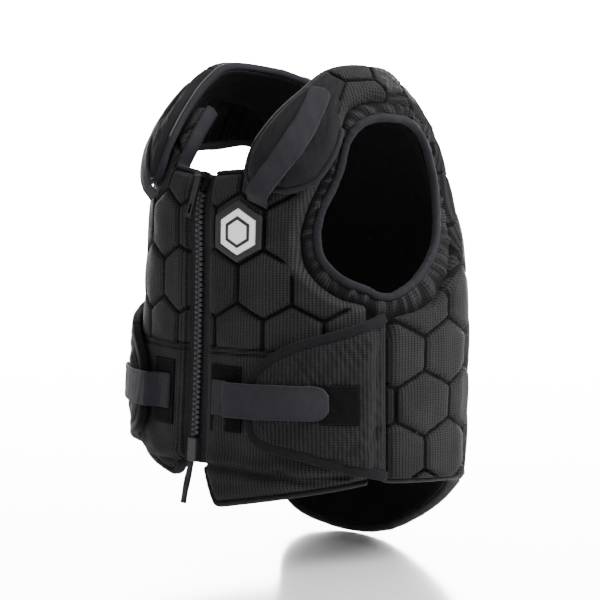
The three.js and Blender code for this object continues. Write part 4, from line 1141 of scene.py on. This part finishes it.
def wing_edge(side, lift):
    last = len(WING_ROWS) - 1
    parts = [wing_place(side, last * SHARES, 0), wing_place(side, last, SHARES[1:-1]),
             wing_place(side, last * SHARES[::-1], 1)]
    path = np.concatenate([np.column_stack(np.broadcast_arrays(*part)) for part in parts])
    path[:, 2] = between(WING_SEAM_LIFT, OVER_FOAM, path[:, 2]) + lift
    return softened(evenly(path, ROUTE_STEP), 8)


SIDE_ROUND = (0.372, 0.432)
SIDE_DOWN = (0.412, 0.762)
SIDE_LOW = 0.0045
SIDE_THICK = 0.002


def side_strip(side, word):
    at = lambda u, t: (side * between(*SIDE_ROUND, t), between(*SIDE_DOWN, u))
    width = np.ptp(SIDE_ROUND) * HALF_GIRTH
    strip = band(f"side_strip_{word}", 60, 12, at, width, lambda u: SIDE_LOW, SIDE_THICK)
    # The strip carries no groove mark, so the mesh finish draws all of it in the grooves' painted shade, near
    # black.
    dress(strip, [wing_covering, lining])


wing_binding = smooth_fabric("wing_binding", grey(0.006, 0.008), grey(0.004, 0.005), 0.0009, 0.8, 0.02)
for word, side in SIDES:
    side_strip(side, word)
    wing(side, word)
    tape = sleeve(f"wing_tape_{word}", wing_edge(side, WING_FOAM / 2), WING_BINDING, WING_TAPE_THICK,
                  side * WING_BESIDE, square=4.5, uneven=0.05)
    dress(tape, [wing_binding], f"wing_binding_{word}")
    stitches(f"wing_stitches_{word}", wing_edge(side, WING_FOAM / 2 + WING_STITCH_LIFT),
             side * (WING_BESIDE - WING_STITCH_INSET))

# Waist straps: a wide brushed strap is sewn under each front edge and grips a square of hook tape on the
# wing, so that the wings can be set tighter or looser.
STRAP_GAP = 0.0006
PATCH = 0.0016
PATCH_STITCHES = 0.0016
PATCH_LOW = FOAM + SEAM_GAP
WAIST_LOW = PATCH_LOW + PATCH + SEAM_GAP
WING_TOP = OVER_FOAM + WING_FOAM
WAIST_HIGH = WING_TOP + PATCH + 2 * SEAM_GAP
WAIST_STRAP_ROWS = np.array([
    # round, top edge down, bottom edge down, share of the climb onto the wing
    [0.068, 0.580, 0.650, 0.00],
    [0.100, 0.580, 0.650, 0.05],
    [0.110, 0.580, 0.650, 0.45],
    [0.120, 0.580, 0.650, 1.00],
    [0.180, 0.580, 0.650, 1.00],
    [0.215, 0.579, 0.649, 1.00],
    [0.250, 0.579, 0.648, 1.00],
    [0.280, 0.578, 0.648, 1.00],
    [0.300, 0.582, 0.643, 1.00],
    [0.311, 0.596, 0.628, 1.00],
])
FRONT_PATCH = ((0.060, 0.138), (0.550, 0.682))
WING_PATCH = ((0.295, 0.362), (0.575, 0.656))


def patch(name, corners, side, low, node):
    (left, right), (top, bottom) = corners
    at = lambda u, t: (side * between(left, right, u), between(top, bottom, t))
    piece = band(name, 48, 60, at, (bottom - top) * LENGTH, lambda u: low, PATCH, 0.0008, 0.0002)
    dress(piece, [loop_pile], node)
    border = np.array([[left, top], [right, top], [right, bottom], [left, bottom]])
    inset = PATCH_STITCHES / FLAT
    border = border + inset * np.array([[1, 1], [-1, 1], [-1, -1], [1, -1]])
    route = np.concatenate([between(a, b, SHARES[:-1, None]) for a, b in zip(border, np.roll(border, -1, 0))])
    stitches(f"{name}_stitches", with_lift(route * (side, 1), low + PATCH), closed=True, thick=0.0006)


def strap_lift(table, low, high, rows):
    return lambda u: between(low, high, smooth_row(table, rows(u))[-1])


def strap_stitches(name, at, lift, edges, ends):
    """A row of stitches along a strap by each of its edges."""
    u = between(*ends, SHARES)
    for k, edge in enumerate(edges):
        stitches(f"{name}_{k}", np.column_stack([*at(u, edge + 0 * u), lift(u) + WEBBING]))


def waist_strap(side, word):
    rows = row_numbers(WAIST_STRAP_ROWS[:, :2], WAIST_STRAP_ROWS[:, [0, 2]])

    def at(u, t):
        round_, top, bottom, _ = smooth_row(WAIST_STRAP_ROWS, rows(u))
        return side * round_, between(top, bottom, t)

    lift = strap_lift(WAIST_STRAP_ROWS, WAIST_LOW, WAIST_HIGH, rows)
    width = np.ptp(WAIST_STRAP_ROWS[0, 1:3]) * LENGTH
    piece = band(f"waist_webbing_{word}", 110, 36, at, width, lift, WEBBING)
    dress(piece, [brushed], f"waist_strap_{word}")
    strap_stitches(f"waist_stitches_{word}", at, lift, (0.06, 0.94), (0.02, 0.93))
    for k, u in enumerate((0.025, 0.11)):
        along = u + 0 * SHARES
        route = np.column_stack([*at(along, between(0.08, 0.92, SHARES)), lift(along) + WEBBING])
        stitches(f"waist_tack_{word}_{k}", route)


def pile(name, colour, worn):
    """Hook and loop cloth: a dense nap of tiny loops."""
    finish = Finish(name, roughness=0.95, specular=0.08, sheen=0.01)
    nap = finish.noise(0.0011, 4)
    finish.colour(finish.mix(nap.step(0.35, 0.7), worn, colour))
    finish.bump(nap, 0.0007)
    return finish.material


loop_pile = pile("loop_pile", grey(0.005, 0.0055), grey(0.0022, 0.0025))
for word, side in SIDES:
    patch(f"front_loop_{word}", FRONT_PATCH, side, PATCH_LOW, f"front_patch_{word}")
    patch(f"wing_hook_{word}", WING_PATCH, side, WING_TOP + SEAM_GAP, f"wing_patch_{word}")
    waist_strap(side, word)

# Shoulder pads: padded arches from the chest to the back of the neck, smooth cloth in front and air mesh
# over the shoulder, with a light cord along the neck edge. They are pressed into blocks over the top.
PAD_FOAM = 0.013
PAD_SEAM = 0.003
PAD_ROWS = np.array([
    # neck edge round and down, arm edge round and down, lift and thickness as shares
    [0.153, 0.196, 0.232, 0.208, 1.00, 0.50],
    [0.147, 0.168, 0.278, 0.192, 1.00, 0.75],
    [0.155, 0.128, 0.312, 0.150, 1.00, 0.95],
    [0.185, 0.075, 0.338, 0.105, 1.00, 1.00],
    [0.230, 0.025, 0.352, 0.070, 1.00, 1.05],
    [0.285, -0.020, 0.370, 0.035, 1.00, 1.10],
    [0.360, -0.073, *ARMHOLE[9, :2], 1.00, 1.15],
    [0.470, -0.100, *ARMHOLE[10, :2], 0.80, 1.15],
    [0.600, -0.105, *ARMHOLE[11, :2], 0.45, 1.20],
    [0.695, -0.096, *ARMHOLE[12, :2], 0.18, 1.25],
    [1 - BACK_ROWS[20][0] - PAD_SEAM, BACK_ROWS[20][1],
     1 - BACK_ROWS[18][0] - PAD_SEAM, BACK_ROWS[18][1], 0, 1.35],
])
PAD_GROOVES = [
    np.array([[0.350, -0.078], [0.392, -0.037], [0.367, 0.003], [0.350, 0.045]]),
    np.array([[0.392, -0.037], [0.467, -0.046], [0.485, -0.013], [0.460, 0.020]]),
    np.array([[0.467, -0.046], [0.500, -0.105]]),
    np.array([[0.485, -0.013], [0.560, -0.022], [0.585, 0.020]]),
    np.array([[0.560, -0.022], [0.590, -0.060], [0.585, -0.110]]),
    np.array([[0.590, -0.060], [0.655, -0.052], [0.680, 0.000], [0.655, 0.080]]),
    np.array([[0.655, -0.052], [0.700, -0.100]]),
]
PAD_GROOVE_DEPTH = 0.0034
PAD_RUN = 0.25
PAD_SOFTNESS = 0.0012
PAD_GRAIN = 0.0004
PAD_ARM_ROWS = 4.0
CORD = 0.0014
CORD_LIFT = (0, 0, 0.0036)
CORD_REACH = 0.56


def pad_place(side, r, t):
    a, b, c, d, lifted, thick = smooth_row(PAD_ROWS, r)
    return side * between(a, c, t), between(b, d, t), between(SEAM_GAP, OVER_FOAM, lifted), PAD_FOAM * thick


def shoulder_pad(side, word, along=190, across=60):
    piece = slab(f"shoulder_padding_{word}", along, across)
    flat = points_of(piece)
    rows = row_numbers(PAD_ROWS[:, :2], PAD_ROWS[:, 2:4])
    at = lambda u, t: pad_place(side, rows(u), t)[:2]
    share = rimmed(flat[:, 0], along, RIM / PAD_RUN)
    edges = smooth_row(PAD_ROWS, rows(share))
    width = np.hypot((edges[2] - edges[0]) * HALF_GIRTH, (edges[3] - edges[1]) * LENGTH)
    t = rimmed(flat[:, 1], across, RIM / width)
    round_, down, low, thick = pad_place(side, rows(share), t)
    spots = np.stack([round_, down], 1) * FLAT
    edge = edge_distance(flat, spots, at)
    mirrored = np.array([side, 1]) * FLAT
    groove = np.min([line_distance(spots, path * mirrored) for path in PAD_GROOVES], axis=0)
    thick = thick + relief(groove, PAD_GROOVE_DEPTH) * eased(edge, 0, RIM)
    lift = low + padded_lift(flat[:, 2] > 0.5, edge, thick, 0.3, RIM)
    points = place(round_, down, lift)
    uneven = PAD_SOFTNESS * ripple(points, 0.045, 31) + PAD_GRAIN * ripple(points, 0.014, 32)
    points = raised(points, round_, down, uneven * eased(edge, 0, RIM) * (flat[:, 2] > 0.5))
    # The groove mark makes the mesh finish paint shade along the pad's pressed grooves.
    lay(piece, points, (spots[:, 0], spots[:, 1]), groove=groove)
    in_front = np.abs(round_) < np.interp(down, PAD_GROOVES[0][:, 1], PAD_GROOVES[0][:, 0])
    for face in piece.data.polygons:
        if face.material_index == 0 and in_front[face.vertices[0]]:
            face.material_index = 2
    return dress(piece, [covering, lining, flap_cloth], f"shoulder_pad_{word}")


def pad_edge(side, height):
    """Round the pad's free edges: down the neck edge, round the chest end and up the arm side."""
    last = len(PAD_ROWS) - 1
    parts = [pad_place(side, between(last - 0.4, 0, SHARES), 0), pad_place(side, 0, SHARES[1:-1]),
             pad_place(side, between(0, PAD_ARM_ROWS, SHARES), 1)]
    route = []
    for part in parts:
        round_, down, low, thick = np.broadcast_arrays(*part)
        route.append(np.column_stack([round_, down, low + height(thick)]))
    return softened(evenly(np.concatenate(route), ROUTE_STEP), 8)


flap_cloth = smooth_fabric("flap_cloth", grey(0.009, 0.011), grey(0.006, 0.007), 0.0010, 0.85, 0.04)
light_cord = smooth_fabric("light_cord", grey(0.085, 0.09), grey(0.05, 0.055), 0.0008, 0.6, 0.05)
for word, side in SIDES:
    shoulder_pad(side, word)
    edge = pad_edge(side, lambda thick: thick / 2 - 0.001)
    tube = sleeve(f"pad_tape_{word}", edge, PIPING, PAD_FOAM / 2, side * BESIDE_PIPING, square=2.4)
    dress(tube, [binding_tape], f"pad_binding_{word}")
    neck_edge = edge[np.arange(len(edge)) < CORD_REACH * len(edge)]
    cord = sleeve(f"pad_cord_{word}", neck_edge + CORD_LIFT, CORD, CORD, side * BESIDE_PIPING, square=2)
    dress(cord, [light_cord])

# Shoulder straps: brushed straps sewn to the chest at their low end and gripping the pads with their upper
# end, which sets how high the vest sits.
STRAP_LOW = FOAM + CROWN + STRAP_GAP
PAD_TOP = OVER_FOAM + 1.10 * PAD_FOAM + STRAP_GAP
SHOULDER_STRAP_ROWS = np.array([
    # first edge round and down, second edge round and down, share of the climb onto the pad
    [0.148, 0.228, 0.190, 0.244, 0.00],
    [0.149, 0.222, 0.192, 0.238, 0.16],
    [0.152, 0.214, 0.196, 0.229, 0.44],
    [0.168, 0.192, 0.213, 0.208, 0.68],
    [0.192, 0.162, 0.237, 0.178, 0.83],
    [0.220, 0.125, 0.266, 0.141, 0.92],
    [0.248, 0.084, 0.296, 0.099, 0.96],
    [0.273, 0.046, 0.319, 0.060, 0.98],
    [0.292, 0.014, 0.338, 0.027, 1.00],
    [0.303, -0.006, 0.348, 0.004, 1.00],
    [0.314, -0.015, 0.340, -0.010, 1.00],
])


def shoulder_strap(side, word):
    rows = row_numbers(SHOULDER_STRAP_ROWS[:, :2], SHOULDER_STRAP_ROWS[:, 2:4])

    def at(u, t):
        a, b, c, d, _ = smooth_row(SHOULDER_STRAP_ROWS, rows(u))
        return side * between(a, c, t), between(b, d, t)

    lift = strap_lift(SHOULDER_STRAP_ROWS, STRAP_LOW, PAD_TOP, rows)
    width = math.hypot(*((SHOULDER_STRAP_ROWS[0, 2:4] - SHOULDER_STRAP_ROWS[0, :2]) * FLAT))
    piece = band(f"shoulder_webbing_{word}", 130, 24, at, width, lift, WEBBING)
    dress(piece, [brushed], f"shoulder_strap_{word}")
    strap_stitches(f"shoulder_stitches_{word}", at, lift, (0.09, 0.91), (0.02, 0.96))


for word, side in SIDES:
    shoulder_strap(side, word)

# Badge: a soft moulded hexagon, a black raised rim round a white plate, glued on the wearer's left chest.
BADGE = (0.126, 0.287)
BADGE_ACROSS = 0.044
BADGE_RIM = 0.005
BADGE_THICK = 0.0024
BADGE_PLATE = 0.0017
BADGE_LIFT = FOAM + CROWN + 0.0001
DRAWN_SHARE = 0.66
DRAWN_LINE = 0.0025
EDGE_STEPS = 6
FACE_RINGS = 5


def badge_piece(name, finish, node, outer, inner, thick, soft, height=0.0):
    """A hexagon ring, or a plate where the inner width is 0, with rounded edges, bent onto the chest."""
    corners = np.pi / 6 + np.arange(7) * np.pi / 3
    corners = np.stack([np.cos(corners), np.sin(corners)], 1) / np.cos(np.pi / 6)
    steps = np.arange(EDGE_STEPS)[:, None] / EDGE_STEPS
    edges = [between(a, b, steps) for a, b in zip(corners[:-1], corners[1:])]
    outline = np.concatenate([*edges, corners[:1]])
    turn = np.linspace(0, np.pi / 2, 5)
    rise, run = thick - soft * (1 - np.sin(turn)), soft * (1 - np.cos(turn))
    high = np.linspace(outer / 2 - soft, inner / 2 + soft * (inner > 0), FACE_RINGS)[1:-1]
    profile = [(outer / 2, 0), *zip(outer / 2 - run, rise), *((x, thick) for x in high)]
    if inner:
        profile += [*zip((inner / 2 + run)[::-1], rise[::-1]), (inner / 2, 0), (outer / 2, 0)]
    else:
        profile = [(0, 0), *profile, (0, thick)]
    piece = open_grid(name, len(outline) - 1, len(profile) - 1)
    flat = points_of(piece)
    i = np.rint(flat[:, 0] * (len(outline) - 1)).astype(int)
    width, up = np.array(profile)[np.rint(flat[:, 1] * (len(profile) - 1)).astype(int)].T
    x, y = outline[i].T * width
    round_, down = BADGE[0] + x / HALF_GIRTH, BADGE[1] - y / LENGTH
    lay(piece, place(round_, down, BADGE_LIFT + height + up), (x, y), weld=True)
    return dress(piece, [finish], node)


soft_black = moulded("soft_black", grey(0.004, 0.0045), grey(0.010, 0.011), 0.5, grain=0.0006)
soft_white = moulded("soft_white", grey(0.93), grey(0.88), 0.55, grain=0.0006)
inside = BADGE_ACROSS - 2 * BADGE_RIM
drawn = inside * DRAWN_SHARE
badge_piece("badge_rim_moulding", soft_black, "badge_rim",
            BADGE_ACROSS, inside, BADGE_THICK, 0.0007)
badge_piece("badge_plate_moulding", soft_white, "badge_plate",
            inside - 2 * SEAM_GAP, 0, BADGE_PLATE, 0.0004)
badge_piece("badge_inner_line", soft_black, None,
            drawn, drawn - 2 * DRAWN_LINE, 0.0004, 0.0001, BADGE_PLATE)

# Floor, backdrop and soft light of the studio.
FLOOR_GAP = 0.0006
FLOOR_HALF = 30
WORLD_STRENGTH = 0.68
FLOOR_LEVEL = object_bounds()[0][2] - FLOOR_GAP
floor_mesh = bmesh.new()
bmesh.ops.create_grid(floor_mesh, x_segments=1, y_segments=1, size=FLOOR_HALF)
bmesh.ops.translate(floor_mesh, verts=floor_mesh.verts, vec=(0, 0, FLOOR_LEVEL))
floor = bring("floor", floor_mesh)
paper = Finish("white_acrylic", roughness=0.12, specular=0.6)
paper.colour(paper.mix(paper.noise(0.4), grey(0.90), grey(0.92)))
floor.data.materials.append(paper.material)

world = bpy.data.worlds.new("studio")
world.use_nodes = True
world.node_tree.nodes["Background"].inputs["Color"].default_value = grey(1)
world.node_tree.nodes["Background"].inputs["Strength"].default_value = WORLD_STRENGTH
bpy.context.scene.world = world


def backdrop(name, distance, width, height, strength):
    """A lit white wall behind the vest, seen in the gloss of the floor as well."""
    bm = bmesh.new()
    bmesh.ops.create_grid(bm, x_segments=1, y_segments=1, size=0.5)
    bmesh.ops.scale(bm, vec=(width, height, 1), verts=bm.verts)
    bmesh.ops.rotate(bm, matrix=Matrix.Rotation(math.pi / 2, 3, "X"), verts=bm.verts)
    bmesh.ops.rotate(bm, matrix=Matrix.Rotation(AZIMUTH, 3, "Z"), verts=bm.verts)
    centre = -away * distance
    bmesh.ops.translate(bm, vec=(centre.x, centre.y, FLOOR_LEVEL + height / 2), verts=bm.verts)
    wall = bring(name, bm)
    lit = Finish(name)
    lit.feed(lit.shader.inputs["Emission Color"], lit.mix(lit.noise(2.0), grey(1), grey(0.98)))
    lit.shader.inputs["Emission Strength"].default_value = strength
    wall.data.materials.append(lit.material)


backdrop("backdrop", distance=6.0, width=7.0, height=2.4, strength=26)


def softbox(name, azimuth, elevation, distance, size, power):
    light = bpy.data.lights.new(name, "AREA")
    light.shape = "DISK"
    light.size = size
    light.energy = power
    lamp = bpy.data.objects.new(name, light)
    a, e = math.radians(azimuth), math.radians(elevation)
    back = Vector((math.sin(a) * math.cos(e), -math.cos(a) * math.cos(e), math.sin(e)))
    lamp.location = CHEST + back * distance
    lamp.rotation_euler = back.to_track_quat("Z", "Y").to_euler()
    bpy.context.scene.collection.objects.link(lamp)


softbox("key", azimuth=115, elevation=42, distance=2.0, size=1.2, power=75)
softbox("fill", azimuth=20, elevation=35, distance=2.4, size=1.6, power=8)
softbox("top", azimuth=180, elevation=75, distance=2.0, size=1.4, power=18)
